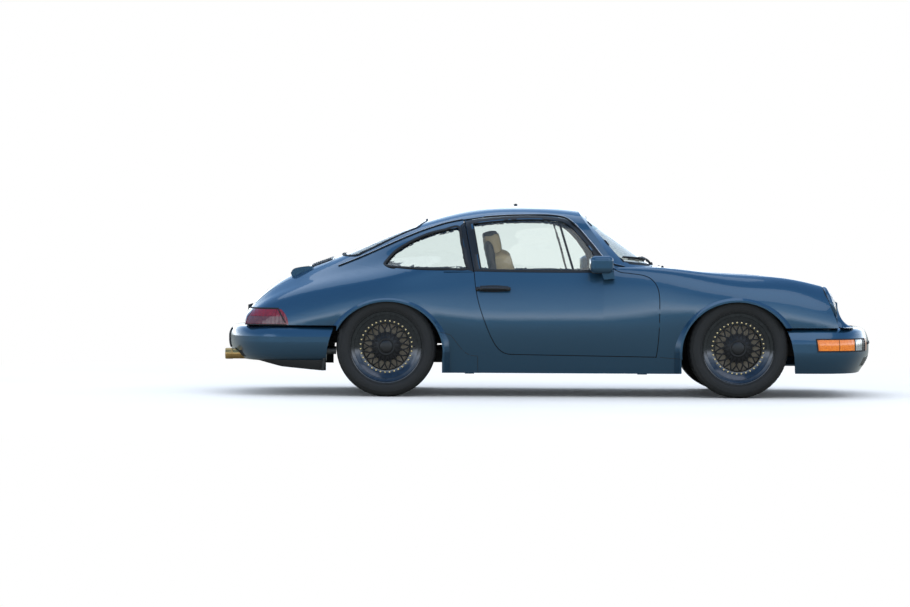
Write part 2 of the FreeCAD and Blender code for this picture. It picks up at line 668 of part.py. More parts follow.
# Bumper ends follow the wheel arches.
FRONT_END = [
    [(1400, 100), (1580, 100)],
    [(1580, 100), (1566, 240), (1551, 333), (1530, 400), (1506, 470)],
    [(1506, 470), (1400, 470)],
    [(1400, 470), (1400, 100)],
]
REAR_END = [
    [(-1300, 100), (-1462, 100)],
    [(-1462, 100), (-1454, 260), (-1441, 345), (-1424, 400), (-1402, 470)],
    [(-1402, 470), (-1300, 470)],
    [(-1300, 470), (-1300, 100)],
]
indicator_zone = prism([[(1714, 306), (1704, 384)], [(1704, 384), (2200, 384)], [(2200, 384), (2200, 306)],
                        [(2200, 306), (1714, 306)]], "xz", -1000, -420)
front_bumper = bumper(FRONT_PATH, FRONT_SHAPE)
both_arches = front_arch.fuse(flip(front_arch))
lamps_in_bumper = front_bumper.common(indicator_zone)
front_bumper = front_bumper.cut(both_arches).cut(prism(FRONT_END, "xz", -1000, 1000))
front_bumper = front_bumper.cut(box(1490, 1548, -762, 762, 380, 470))
slot = prism([[(1714, 306), (1704, 384)], [(1704, 384), (2200, 384)], [(2200, 384), (2200, 306)],
              [(2200, 306), (1714, 306)]], "xz", -1000, -420, seat)
front_bumper = front_bumper.cut(slot).cut(flip(slot))
nodes["front_bumper"] = solid_of(front_bumper.fuse(arms(1880, 2086, 316, 350)))
nodes["front_indicators"] = Part.makeCompound([solid_of(lamps_in_bumper), flip(solid_of(lamps_in_bumper))])
rear_bumper = bumper(REAR_PATH, REAR_SHAPE).cut(rear_arch).cut(flip(rear_arch))
rear_bumper = rear_bumper.cut(prism(REAR_END, "xz", -1000, 1000))
tip_room = cylinder((-2300, -450, 264), (1, 0, 0), size("tip_radius") + 8, 500)
nodes["rear_bumper"] = solid_of(rear_bumper.cut(tip_room).fuse(arms(-2088, -1952, 340, 380)))

# Floor, bulkheads and tub
floor_z = size("floor_z")
floor_top = floor_z + size("floor_thick")
wide = size("floor_half")
wall = size("firewall_x") - 18
plate = box(-640, 838, -wide, wide, floor_z, floor_top)
tunnel = box(-620, wall, -105, 105, floor_top, 310)
bulkhead = both_sides(liner_nose.common(box(wall, wall + size("wall_thick"), -900, 0, floor_top, 900)))
under_lid = outer_nose.cut(nose_solid(size("frame_wall") + gap)).common(prism(FRONT_LID, "xy", 470, 1000, gap))
bulkhead = bulkhead.cut(under_lid).cut(sill_zone).cut(flip(sill_zone))
back = prism([[(-640, floor_top), (-618, floor_top)], [(-618, floor_top), (-878, 786)], [(-878, 786), (-900, 786)],
              [(-900, 786), (-640, floor_top)]], "xz", -522, 522)
shelf = both_sides(liner_cabin.common(box(-1424, -878, -900, 0, 786, 800)))
floor_pan = plate.fuse(tunnel).fuse(bulkhead).fuse(back).fuse(shelf)
for pad_x in (-560, 560):
    for pad_y in (-660, 600):
        floor_pan = floor_pan.fuse(box(pad_x, pad_x + size("jack_pad"), pad_y, pad_y + size("jack_pad"), floor_z - 8, floor_z))
nodes["floor_pan"] = solid_of(floor_pan)
bracket = box(-1989, -1985, -255, 255, 474, 580)
for bolt_y in (-size("plate_pitch") / 2, size("plate_pitch") / 2):
    bracket = bracket.cut(cylinder((-1995, bolt_y, 560), (1, 0, 0), size("plate_bolt"), 20))
nodes["plate_bracket"] = bracket

tub = box(wall + size("wall_thick"), 1880, -384, 384, size("tub_floor_z"), 900)
tub = tub.cut(box(wall, 1880 - 10, -376, 376, size("tub_floor_z") + 10, 901))
tub = tub.common(nose_solid(size("frame_wall") + 8))
nodes["front_tub"] = solid_of(tub)


def half_ring(x, outer, inner, y0, y1):
    z = size("wheel_z")
    ring = cylinder((x, y0, z), (0, -1, 0), outer, y1 - y0).cut(cylinder((x, y0 + 1, z), (0, -1, 0), inner, y1 - y0 + 2))
    return ring.common(box(x - 500, x + 500, -1000, 0, z - 60, 900))


front_x = size("front_axle_x")
rear_x = size("rear_axle_x")
front_house = half_ring(front_x, size("well_radius") + 6, size("well_radius"), -384, 20)
front_house = front_house.common(liner_nose).cut(sill_zone).cut(front_bumper_zone).cut(door_whole)
rear_out = size("well_radius") - 20
rear_house = half_ring(rear_x, rear_out + 6, rear_out, -530, -200).common(liner_cabin)
rear_house = rear_house.cut(sill_zone).cut(rear_bumper_zone)
rear_side = cylinder((rear_x, -522, size("wheel_z")), (0, -1, 0), rear_out + 6, 8)
rear_side = rear_side.common(box(-1500, -600, -1000, 0, 402, 900))
house = solid_of(rear_house.fuse(rear_side))
nodes["wheelhouses"] = Part.makeCompound([solid_of(front_house), flip(solid_of(front_house)), house, flip(house)])


def feature(name, shape):
    item = doc.addObject("Part::Feature", name)
    item.Label = name
    item.Shape = shape
    return item


def primitive(kind, name, place, **sizes):
    item = doc.addObject(kind, name)
    for key, rule in sizes.items():
        item.setExpression(key, rule)
    item.Placement = place
    return item


def placed(x, y, z, axis=(0, 0, 1), angle=0.0):
    return FreeCAD.Placement(Vector(x, y, z), FreeCAD.Rotation(Vector(*axis), angle))


def profile_body(name, points):
    """Body turned about its own X axis from a closed profile of (along rule, radius rule)."""
    body = doc.addObject("PartDesign::Body", name)
    plane = [item for item in body.Origin.OriginFeatures if item.Role == "XY_Plane"][0]
    sketch = body.newObject("Sketcher::SketchObject", name + "_profile")
    sketch.AttachmentSupport = [(plane, "")]
    sketch.MapMode = "FlatFace"
    spots = [(point[0], point[1]) for point in points]
    for index, (a, b) in enumerate(zip(spots, spots[1:] + spots[:1])):
        sketch.addGeometry(Part.LineSegment(Vector(a[0], a[1], 0), Vector(b[0], b[1], 0)), False)
    for index in range(len(spots)):
        following = (index + 1) % len(spots)
        sketch.addConstraint(Sketcher.Constraint("Coincident", index, 2, following, 1))
    for index, point in enumerate(points):
        along = sketch.addConstraint(Sketcher.Constraint("DistanceX", -1, 1, index, 1, point[0]))
        sketch.setExpression("Constraints[%d]" % along, point[2])
        up = sketch.addConstraint(Sketcher.Constraint("DistanceY", -1, 1, index, 1, point[1]))
        sketch.setExpression("Constraints[%d]" % up, point[3])
    turn = body.newObject("PartDesign::Revolution", name + "_turned")
    turn.Profile = sketch
    turn.ReferenceAxis = (sketch, ["H_Axis"])
    turn.Angle = 360.0
    body.Tip = turn
    return body


def rule_point(along, radius):
    return (along[0], radius[0], along[1], radius[1])


# Wheels stand with the outer side along +X of their own body; the placement turns them out.
WHEELS = (("name", "axle", "half", "width", "side"),
          ("fl", "front_axle_x", "front_track_half", "front_tyre_width", 1),
          ("fr", "front_axle_x", "front_track_half", "front_tyre_width", -1),
          ("rl", "rear_axle_x", "rear_track_half", "rear_tyre_width", 1),
          ("rr", "rear_axle_x", "rear_track_half", "rear_tyre_width", -1))
TREAD = ((0.83, 0.0, "bead_radius"), (0.83, 19.0, "bead_radius"), (0.97, 42.0, "bead_radius"),
         (1.0, 62.0, "bead_radius"), (0.975, -17.0, "tyre_radius"), (0.93, -7.0, "tyre_radius"),
         (0.80, -1.0, "tyre_radius"), (0.55, 0.0, "tyre_radius"))


def tyre_points(width):
    points = []
    for sign, rows in ((-1, TREAD), (1, tuple(reversed(TREAD)))):
        for share, lift, base in rows:
            part = sign * share / 2.0
            along = (size(width) * (0.5 + part), "Sizes.%s * %.4f" % (width, 0.5 + part))
            up = (size(base) + lift, "Sizes.%s + %.1f" % (base, lift))
            points.append(rule_point(along, up))
    return points


def rim_points(width):
    full = "Sizes." + width
    wide = size(width)
    edge = 0.915
    return [
        rule_point((wide * edge - size("face_depth") - 75, full + " * 0.915 - Sizes.face_depth - 75"),
                   (30.0, "30")),
        rule_point((wide * edge - size("face_depth") + size("face_thick"),
                    full + " * 0.915 - Sizes.face_depth + Sizes.face_thick"), (30.0, "30")),
        rule_point((wide * edge - size("face_depth") + size("face_thick"),
                    full + " * 0.915 - Sizes.face_depth + Sizes.face_thick"),
                   (size("disc_radius"), "Sizes.disc_radius")),
        rule_point((wide * edge + 0.5, full + " * 0.915 + 0.5"), (size("rim_barrel") + 6, "Sizes.rim_barrel + 6")),
        rule_point((wide * edge + 11, full + " * 0.915 + 11"), (size("lip_radius") - 4, "Sizes.lip_radius - 4")),
        rule_point((wide * edge + 8, full + " * 0.915 + 8"), (size("lip_radius"), "Sizes.lip_radius")),
        rule_point((wide * edge + 0.5, full + " * 0.915 + 0.5"), (size("lip_radius"), "Sizes.lip_radius")),
        rule_point((wide * edge + 0.5, full + " * 0.915 + 0.5"), (size("rim_radius"), "Sizes.rim_radius")),
        rule_point((wide * 0.09, full + " * 0.09"), (size("rim_radius"), "Sizes.rim_radius")),
        rule_point((wide * 0.09, full + " * 0.09"), (size("rim_barrel") + 6, "Sizes.rim_barrel + 6")),
        rule_point((wide * edge - size("face_depth"), full + " * 0.915 - Sizes.face_depth"),
                   (size("rim_barrel"), "Sizes.rim_barrel")),
        rule_point((wide * edge - size("face_depth"), full + " * 0.915 - Sizes.face_depth"),
                   (size("hub_radius"), "Sizes.hub_radius")),
        rule_point((wide * edge - size("face_depth") - 47, full + " * 0.915 - Sizes.face_depth - 47"),
                   (size("hub_radius"), "Sizes.hub_radius")),
        rule_point((wide * edge - size("face_depth") - 47, full + " * 0.915 - Sizes.face_depth - 47"),
                   (size("brake_radius"), "Sizes.brake_radius")),
        rule_point((wide * edge - size("face_depth") - 75, full + " * 0.915 - Sizes.face_depth - 75"),
                   (size("brake_radius"), "Sizes.brake_radius")),
    ]


def wheel_place(row):
    side = row[4]
    turn = 90.0 * side
    reach = size(row[2]) - size(row[3]) / 2.0
    return placed(size(row[1]), side * reach, size("wheel_z"), (0, 0, 1), turn)


wheel_items = {}
for row in WHEELS[1:]:
    tyre = profile_body("tyre_" + row[0], tyre_points(row[3]))
    rim = profile_body("rim_" + row[0], rim_points(row[3]))
    wheel_items["tyre_" + row[0]] = (tyre, row)
    wheel_items["rim_" + row[0]] = (rim, row)
doc.recompute()
for name, (item, row) in wheel_items.items():
    item.Placement = wheel_place(row)
doc.recompute()


# Headlamps, mirrors and handles
LAMP_MIDDLE = Vector(LAMP["x"], -LAMP["y"], LAMP["z"])


def headlamp():
    bowl = Part.makeCylinder(LAMP["radius"], 80, LAMP_MIDDLE - LAMP_WAY * 80, LAMP_WAY)
    lip = LAMP["lip"]
    rise = LAMP["rise"]
    ring = Part.makeCylinder(LAMP["ring"], lip, LAMP_MIDDLE, LAMP_WAY)
    ball = (LAMP["radius"] ** 2 + rise ** 2) / (2 * rise)
    dome = Part.makeSphere(ball, LAMP_MIDDLE + LAMP_WAY * (lip + rise - ball))
    dome = dome.common(Part.makeCylinder(LAMP["radius"] + 2, 60, LAMP_MIDDLE + LAMP_WAY * lip, LAMP_WAY))
    return bowl.fuse(ring).fuse(dome)


lamp_right = solid_of(headlamp())
nodes["headlamps"] = Part.makeCompound([lamp_right, flip(lamp_right)])


def mirror_shape():
    head = box(240, 388, -932, -800, 806, 916)
    head = head.makeFillet(32, head.Edges)
    foot = prism([[(310, 826), (388, 826)], [(388, 826), (402, 770)], [(402, 770), (330, 762)],
                  [(330, 762), (310, 826)]], "xz", -850, -730)
    foot = foot.cut(nose_solid(-2 * seat, FRONT, False)).cut(cabin_solid(-2 * seat))
    return head.fuse(foot)


def handle_shape():
    paddle = Part.makeBox(200, 16, 24, Vector(-468, -822, 688))
    paddle = paddle.makeFillet(7, paddle.Edges)
    front = Part.makeBox(28, 50, 18, Vector(-300, -818, 691))
    back = Part.makeBox(28, 50, 18, Vector(-462, -818, 691))
    posts = front.fuse(back).cut(cabin_solid(-seat, door_rows, False))
    outer = [piece for piece in posts.Solids if piece.BoundBox.YMin < -790]
    return paddle.fuse(outer)


nodes["mirror_and_handle_right"] = Part.makeCompound([solid_of(mirror_shape()), solid_of(handle_shape())])
for side in ("front_fender", "quarter", "door", "door_glass", "mirror_and_handle"):
    nodes[side + "_left"] = flip(nodes[side + "_right"])


# Seats, dashboard and steering wheel
def seat_shape(y, x, tall):
    cushion = box(x, x + 480, y - 240, y + 240, 210, 340)
    back = box(x - 120, x + 20, y - 240, y + 240, 262, tall)
    back.rotate(Vector(x, y, 260), Vector(0, 1, 0), -14)
    head = box(x - 108, x - 4, y - 130, y + 130, tall - 10, tall + 150)
    head.rotate(Vector(x, y, 260), Vector(0, 1, 0), -14)
    foot = box(x + 40, x + 420, y - 170, y + 170, floor_top, 215)
    return solid_of(cushion.fuse(back).fuse(head).fuse(foot))


seats = [seat_shape(-360, -180, 925), seat_shape(360, -180, 925)]
rear_cushion = prism([[(-588, floor_top + 20), (-430, floor_top + 20)], [(-430, floor_top + 20), (-430, 330)],
                      [(-430, 330), (-652, 344)], [(-652, 344), (-588, floor_top + 20)]], "xz", -500, 500)
rear_back = prism([[(-652, 340), (-572, 334)], [(-572, 334), (-760, 790)], [(-760, 790), (-850, 770)],
                   [(-850, 770), (-652, 340)]], "xz", -500, 500)
rear_seat = rear_cushion.fuse(box(-600, -440, -480, 480, floor_top, floor_top + 20))
rear_seat = rear_seat.fuse(rear_back).cut(tunnel).cut(back)
nodes["seats"] = Part.makeCompound(seats + rear_seat.Solids)
dash = prism([[(wall, 560), (wall, 786)], [(wall, 786), (470, 806), (440, 780)], [(440, 780), (430, 640)],
              [(430, 640), (wall, 560)]], "xz", -640, 640)
dash = dash.common(right).common(liner_cabin.fuse(liner_nose)).cut(door_space)
dash = solid_of(both_sides(dash))
column_way = Vector(-math.cos(math.radians(22)), 0, math.sin(math.radians(22)))
wheel_spot = Vector(250, 360, 742)
steer = Part.makeTorus(182, 14, wheel_spot, column_way)
hub = Part.makeCylinder(44, 34, wheel_spot - column_way * 26, column_way)
spokes = []
for angle in (0, 120, 240):
    spoke = Part.makeBox(176, 36, 10, Vector(0, -18, -5))
    spoke.rotate(Vector(0, 0, 0), Vector(0, 0, 1), angle)
    spoke.rotate(Vector(0, 0, 0), Vector(0, 1, 0), -68)
    spoke.translate(wheel_spot)
    spokes.append(spoke)
nodes["steering_wheel"] = solid_of(steer.fuse([hub] + spokes))
column = Part.makeCylinder(24, 600, wheel_spot - column_way * 626.4, column_way)
column = column.common(box(200, wall, 0, 700, 300, 900))
nodes["dashboard"] = solid_of(dash.fuse(column))

# Running gear
wheel_z = size("wheel_z")
beam = box(front_x - 60, front_x + 60, -376, 376, 196, size("tub_floor_z"))
for side in (-1, 1):
    lower = box(front_x - 24, front_x + 24, min(side * 376, side * 600), max(side * 376, side * 600), 205, 226)
    lower = lower.cut(cylinder((front_x, side * size("kingpin_y"), 200), (0, 0, 1), size("ball_pin") + fit, 40))
    beam = beam.fuse(lower)
nodes["front_axle"] = solid_of(beam)


def knuckle_shape(y_sign):
    upright = box(front_x - 34, front_x + 34, -556, -506, 232, 430)
    post = cylinder((front_x, -550, wheel_z), (0, -1, 0), 34, 67.6)
    strut = cylinder((front_x, -520, 400), (0, 0, 1), 28, 280)
    calliper = box(front_x - 178, front_x - 100, -668, -590, wheel_z - 60, wheel_z + 60)
    calliper = calliper.cut(box(front_x - 159, front_x - 90, -652, -611, wheel_z - 80, wheel_z + 80))
    plate_arm = box(front_x - 178, front_x, -596, -540, wheel_z - 30, wheel_z + 30)
    pin = cylinder((front_x, -size("kingpin_y"), 212), (0, 0, 1), size("ball_pin"), 90)
    lug = box(front_x - 20, front_x + 20, -600, -540, 232, 262)
    whole = solid_of(upright.fuse([post, strut, calliper, plate_arm, pin, lug]))
    return whole if y_sign < 0 else flip(whole)


nodes["knuckle_right"] = knuckle_shape(-1)
nodes["knuckle_left"] = knuckle_shape(1)
rear_tube = cylinder((rear_x, 545, wheel_z), (0, -1, 0), 34, 1090)
carriers = []
for side in (-1, 1):
    inner = min(side * 448, side * 516)
    outer = max(side * 448, side * 516)
    carriers.append(box(rear_x - 50, rear_x + 60, inner, outer, wheel_z - 70, wheel_z + 70))
    carriers.append(box(rear_x + 50, -655, inner, inner + 60, 215, 300))
    post_y = 510 * side
    carriers.append(cylinder((rear_x, post_y, wheel_z), (0, side, 0), 34, 126.1))
rear_axle = rear_tube.fuse(carriers).cut(back)
nodes["rear_axle"] = biggest(rear_axle)
rails = box(-1952, -712, 400, 440, 336, 396).fuse(box(-1952, -712, -440, -400, 336, 396))
rails = rails.fuse(box(-1952, -1912, -440, 440, 336, 396)).fuse(box(-790, -750, -440, 440, 336, 396))
rails = rails.fuse(box(-1500, -1440, -440, 440, 260, 336)).cut(back)
rails = rails.cut(cylinder((rear_x, 545, wheel_z), (0, -1, 0), 34 + seat, 1090))
nodes["rear_frame"] = biggest(rails)
engine = primitive("Part::Box", "engine_block", placed(-1840, -size("engine_wide") / 2, 336.0),
                   Length="Sizes.engine_long", Width="Sizes.engine_wide", Height="Sizes.engine_high")
doc.recompute()
muffler = box(-1880, -1640, -580, -330, 240, 336)
pipe = cylinder((-1650, -490, 290), (1, 0, 0), size("pipe_radius"), 250)
tip = cylinder((-2125, -450, 264), (1, 0, 0), size("tip_radius"), 250).cut(
    cylinder((-2126, -450, 264), (1, 0, 0), size("tip_radius") - 4, 170))
nodes["exhaust"] = solid_of(muffler.fuse(pipe).fuse(tip))

for name, shape in nodes.items():
    feature(name, shape)
doc.recompute()
written = [item for item in doc.Objects if item.TypeId in ("Part::Feature", "PartDesign::Body", "Part::Box")]
for item in written:
    if "Invalid" in item.State or "Error" in item.State:
        raise ValueError("%s did not recompute" % item.Label)
    if item.Shape.isNull() or not item.Shape.isValid():
        raise ValueError("%s has no valid shape" % item.Label)
os.makedirs("parts", exist_ok=True)
for item in written:
    item.Shape.exportStep("parts/%s.step" % item.Label)
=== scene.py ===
import bpy
import bmesh
import json
import math
from mathutils import Matrix, Vector
from mathutils.bvhtree import BVHTree


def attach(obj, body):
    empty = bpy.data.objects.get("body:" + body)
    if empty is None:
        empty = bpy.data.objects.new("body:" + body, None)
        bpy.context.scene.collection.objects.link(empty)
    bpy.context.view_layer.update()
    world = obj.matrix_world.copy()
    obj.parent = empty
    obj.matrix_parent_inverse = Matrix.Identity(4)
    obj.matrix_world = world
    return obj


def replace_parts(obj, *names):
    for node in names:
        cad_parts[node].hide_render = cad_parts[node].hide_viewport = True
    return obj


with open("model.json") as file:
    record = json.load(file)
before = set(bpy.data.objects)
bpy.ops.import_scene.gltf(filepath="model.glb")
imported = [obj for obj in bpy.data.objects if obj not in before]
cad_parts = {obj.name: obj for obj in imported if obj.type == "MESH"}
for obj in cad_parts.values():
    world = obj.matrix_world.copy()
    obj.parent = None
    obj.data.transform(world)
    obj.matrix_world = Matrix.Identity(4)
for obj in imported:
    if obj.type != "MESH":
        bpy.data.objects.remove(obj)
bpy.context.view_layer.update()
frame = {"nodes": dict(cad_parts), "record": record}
NODES = frame["nodes"]
scene = bpy.context.scene
MM = 0.001
SIDES = ((-1, "right"), (1, "left"))
LEFT = {"right_door": "left_door", "wheel_front_right": "wheel_front_left",
        "wheel_rear_right": "wheel_rear_left", "right_upright": "left_upright"}


def node(tree, kind):
    """A new shader node."""
    return tree.nodes.new("ShaderNode" + kind)


def put(item, entry, value):
    """Sets one entry of a shader node."""
    item.inputs[entry].default_value = value


def wire(source, output, target, entry):
    """Joins two shader nodes of one tree."""
    source.id_data.links.new(source.outputs[output], target.inputs[entry])


def stuff(name, dark, light, rough, metallic=0.0, coat=0.0, grain=30.0, relief=0.0, clear=0.0, glow=0.0):
    """A finish that mixes two near colours by noise, which also varies its roughness and relief."""
    mat = bpy.data.materials.new(name)
    mat.use_nodes = True
    tree = mat.node_tree
    shader = tree.nodes["Principled BSDF"]
    put(shader, "Metallic", metallic)
    put(shader, "Coat Weight", coat)
    put(shader, "Coat Roughness", 0.03)
    put(shader, "Transmission Weight", clear)
    place = node(tree, "TexCoord")
    noise = node(tree, "TexNoise")
    put(noise, "Scale", grain)
    put(noise, "Detail", 4.0)
    wire(place, "Object", noise, "Vector")
    ramp = node(tree, "ValToRGB")
    ramp.color_ramp.elements[0].position = 0.3
    ramp.color_ramp.elements[0].color = (*dark, 1)
    ramp.color_ramp.elements[1].position = 0.7
    ramp.color_ramp.elements[1].color = (*light, 1)
    wire(noise, "Fac", ramp, "Fac")
    wire(ramp, "Color", shader, "Base Color")
    spread = node(tree, "MapRange")
    put(spread, "To Min", rough[0])
    put(spread, "To Max", rough[1])
    wire(noise, "Fac", spread, "Value")
    wire(spread, "Result", shader, "Roughness")
    if relief:
        bump = node(tree, "Bump")
        put(bump, "Strength", relief)
        put(bump, "Distance", 0.002)
        wire(noise, "Fac", bump, "Height")
        wire(bump, "Normal", shader, "Normal")
    if glow:
        put(shader, "Emission Strength", glow)
        wire(ramp, "Color", shader, "Emission Color")
    return mat


def ribbed(mat, scale, depth, direction="Z"):
    """Fine parallel ribs in the relief of a finish."""
    tree = mat.node_tree
    place = node(tree, "TexCoord")
    wave = node(tree, "TexWave")
    wave.bands_direction = direction
    put(wave, "Scale", scale)
    bump = node(tree, "Bump")
    put(bump, "Strength", depth)
    put(bump, "Distance", 0.002)
    wire(place, "Object", wave, "Vector")
    wire(wave, "Fac", bump, "Height")
    wire(bump, "Normal", tree.nodes["Principled BSDF"], "Normal")


PAINT = stuff("slate_blue_paint", (0.015, 0.066, 0.124), (0.020, 0.080, 0.148), (0.26, 0.32), 0.6, 1.0, 900.0)
DARK = stuff("underbody_black", (0.009, 0.009, 0.010), (0.018, 0.018, 0.018), (0.6, 0.85), grain=14,
             relief=0.3)
TRIM = stuff("satin_black_trim", (0.006, 0.006, 0.007), (0.011, 0.011, 0.012), (0.28, 0.42), grain=120)
SEAL = stuff("black_rubber_seal", (0.006, 0.006, 0.006), (0.012, 0.012, 0.012), (0.55, 0.7), grain=80,
             relief=0.1)
RUBBER = stuff("tyre_rubber", (0.008, 0.008, 0.008), (0.014, 0.0135, 0.013), (0.55, 0.75), grain=40,
               relief=0.2)
CHROME = stuff("dark_chrome", (0.060, 0.063, 0.070), (0.085, 0.09, 0.10), (0.08, 0.16), 1.0, grain=60)
BRIGHT = stuff("bright_metal", (0.60, 0.61, 0.62), (0.72, 0.72, 0.73), (0.08, 0.16), 1.0, grain=60)
RIM = stuff("rim_black", (0.008, 0.008, 0.009), (0.013, 0.013, 0.014), (0.34, 0.46), 0.2, 0.0, 50)
GOLD = stuff("gold_bolts", (0.62, 0.47, 0.24), (0.80, 0.66, 0.40), (0.16, 0.3), 1.0, grain=200)
BRASS = stuff("gold_exhaust", (0.42, 0.25, 0.09), (0.62, 0.40, 0.16), (0.2, 0.4), 1.0, grain=40)
DISC = stuff("brake_disc_steel", (0.26, 0.22, 0.17), (0.36, 0.31, 0.25), (0.35, 0.5), 0.7, grain=20)
ribbed(DISC, 60, 0.3, "X")
GLASS = stuff("window_glass", (0.86, 0.92, 0.90), (0.88, 0.94, 0.92), (0.0, 0.01), clear=1.0, grain=2)
LENS = stuff("fluted_lamp_glass", (0.92, 0.95, 0.97), (0.96, 0.98, 1.0), (0.02, 0.05), clear=1.0, grain=30)
ribbed(LENS, 26, 0.4, "Y")
SHADE = stuff("teal_shade_band", (0.03, 0.36, 0.36), (0.05, 0.42, 0.41), (0.02, 0.06), clear=0.6, grain=4)
RED = stuff("tail_red", (0.15, 0.004, 0.010), (0.22, 0.008, 0.016), (0.10, 0.2), coat=0.6, grain=70)
ribbed(RED, 12, 0.5, "X")
SMOKE = stuff("tail_smoke", (0.09, 0.02, 0.02), (0.14, 0.04, 0.03), (0.06, 0.14), coat=1.0, grain=70)
ribbed(SMOKE, 12, 0.5, "X")
AMBER = stuff("indicator_amber", (0.66, 0.15, 0.010), (0.85, 0.24, 0.02), (0.08, 0.18), coat=1.0, grain=90,
              glow=0.12)
ribbed(AMBER, 14, 0.5, "X")
CLEAR = stuff("clear_marker", (0.5, 0.52, 0.52), (0.66, 0.68, 0.68), (0.08, 0.16), 0.5, 1.0, 60)
ribbed(CLEAR, 14, 0.5, "X")
LEATHER = stuff("tan_leather", (0.46, 0.33, 0.18), (0.62, 0.47, 0.28), (0.42, 0.6), grain=160, relief=0.25)
HIDE = stuff("dark_leather", (0.035, 0.028, 0.024), (0.06, 0.05, 0.042), (0.42, 0.6), grain=160, relief=0.25)
THREAD = stuff("seam_thread", (0.10, 0.075, 0.05), (0.16, 0.12, 0.08), (0.6, 0.8), grain=300)
BLACK = stuff("cabin_black", (0.012, 0.012, 0.013), (0.026, 0.026, 0.027), (0.5, 0.7), grain=180, relief=0.3)
STEEL = stuff("raw_steel", (0.16, 0.16, 0.165), (0.30, 0.30, 0.31), (0.35, 0.55), 1.0, grain=26, relief=0.1)
CAST = stuff("cast_engine", (0.20, 0.20, 0.20), (0.33, 0.33, 0.33), (0.5, 0.75), 0.6, grain=36, relief=0.3)
DIAL = stuff("dial_face", (0.010, 0.010, 0.010), (0.02, 0.02, 0.02), (0.3, 0.4), grain=50)
WHITE = stuff("white_marks", (0.7, 0.7, 0.68), (0.8, 0.8, 0.78), (0.4, 0.5), grain=90)
BY_SLOT = {"body_paint": PAINT, "dark_metal": DARK, "clear_glass": GLASS, "lamp_glass": LENS, "red_lens": RED,
           "amber_lens": AMBER, "seat_leather": LEATHER, "black_plastic": BLACK, "tyre_rubber": RUBBER,
           "rim_finish": RIM, "cast_metal": CAST, "steel_parts": STEEL}
SLOT_OF = {entry["node"]: entry["material_slot"] for entry in frame["record"]["subparts"]}
for name, part in NODES.items():
    part.data.materials.clear()
    part.data.materials.append(BY_SLOT[SLOT_OF[name]])


def repaint(part, mat, test):
    """Polygons of a CAD node whose middle passes the test get another finish."""
    mesh = NODES[part].data
    mesh.materials.append(mat)
    for face in mesh.polygons:
        if test(face.center / MM):
            face.material_index = len(mesh.materials) - 1


for side, tag in SIDES:
    repaint("mirror_and_handle_" + tag, TRIM, lambda spot: spot.x < 0)
repaint("exhaust", BRASS, lambda spot: spot.x < -1880 and spot.z < 300)


# Surfaces of the CAD nodes, to lay trim on
def surface(*names):
    verts = []
    faces = []
    for name in names:
        mesh = NODES[name].data
        start = len(verts)
        verts.extend(tuple(vert.co) for vert in mesh.vertices)
        faces.extend([start + index for index in face.vertices] for face in mesh.polygons)
    return BVHTree.FromPolygons(verts, faces)


SIDE = surface("door_right", "door_glass_right", "quarter_right", "front_fender_right", "roof_frame", "sills",
               "fixed_glass", "front_bumper", "rear_bumper")
FRONT = surface("windscreen", "roof_frame", "cowl_panel")
SHELL = surface("front_bumper", "front_indicators", "rear_bumper", "tail_lamps", "rear_panel",
                "quarter_right", "quarter_left", "nose_panel")
TOP = surface("roof_frame", "engine_lid", "front_lid", "cowl_panel", "front_fender_right", "windscreen",
              "fixed_glass")
BACK = surface("roof_frame", "engine_lid", "fixed_glass", "quarter_right", "quarter_left")


def cast(tree, start, way, keep=lambda spot: True, near=None):
    """Place and outward normal where a ray meets a surface, or the nearest place to a guess."""
    start = Vector(start) * MM
    way = Vector(way).normalized()
    spot, normal, index, far = tree.ray_cast(start, way)
    if spot is None or not keep(spot / MM):
        guess = Vector(near if near else (start + way) / MM) * MM
        found, normal, index, far = tree.find_nearest(guess)
        along = (found - start).dot(way)
        spot = start + way * along
    if normal.dot(way) > 0:
        normal = -normal
    return spot, normal


# Rays start well outside the car: beside, above, ahead of, behind and all round it.
BESIDE = -1300
ABOVE = 1600
AHEAD = 2600
BEHIND = -2600
AROUND = 1400


def on_side(x, z):
    return cast(SIDE, (x, BESIDE, z), (0, 1, 0), lambda spot: spot.y < -400,
                (x, -760 + max(0, z - 800) * 0.45, z))


DOOR_MIDDLE = Vector((90, 620))


def on_gap(x, z):
    """A place in a panel gap, at the height of the panel just outside the door."""
    out = (Vector((x, z)) - DOOR_MIDDLE).normalized() * 13
    spot, normal = on_side(x + out.x, z + out.y)
    return Vector((x * MM, spot.y, z * MM)), normal


def on_front(y, z):
    return cast(FRONT, (AHEAD, y, z), (-1, 0, 0), lambda spot: spot.x > 0, (300, y, z))


def on_back(y, z):
    return cast(BACK, (BEHIND, y, z), (1, 0, 0), lambda spot: spot.x < -500, (-1000, y, z))


def on_slope(x, z):
    """Where the body side beside the rear window is at a height, found by halving."""
    inner, outer = -528, -700
    for _ in range(18):
        middle = (inner + outer) / 2
        spot, normal = cast(BACK, (x, middle, ABOVE), (0, 0, -1))
        if spot.z > z * MM:
            inner = middle
        else:
            outer = middle
    return cast(BACK, (x, inner, ABOVE), (0, 0, -1))


def on_pane(hit, axes, point, middle, pull=0.06):
    """A place on the edge of a pane, found a little inside it and moved back out along its plane."""
    spot, normal = hit(*(here + (inside - here) * pull for here, inside in zip(point, middle)))
    place = spot.copy()
    free = 3 - sum(axes)
    for axis, want in zip(axes, point):
        place[axis] = want * MM
        place[free] -= normal[axis] * (place[axis] - spot[axis]) / normal[free]
    return place, normal


def on_top(x, y):
    return cast(TOP, (x, y, ABOVE), (0, 0, -1))


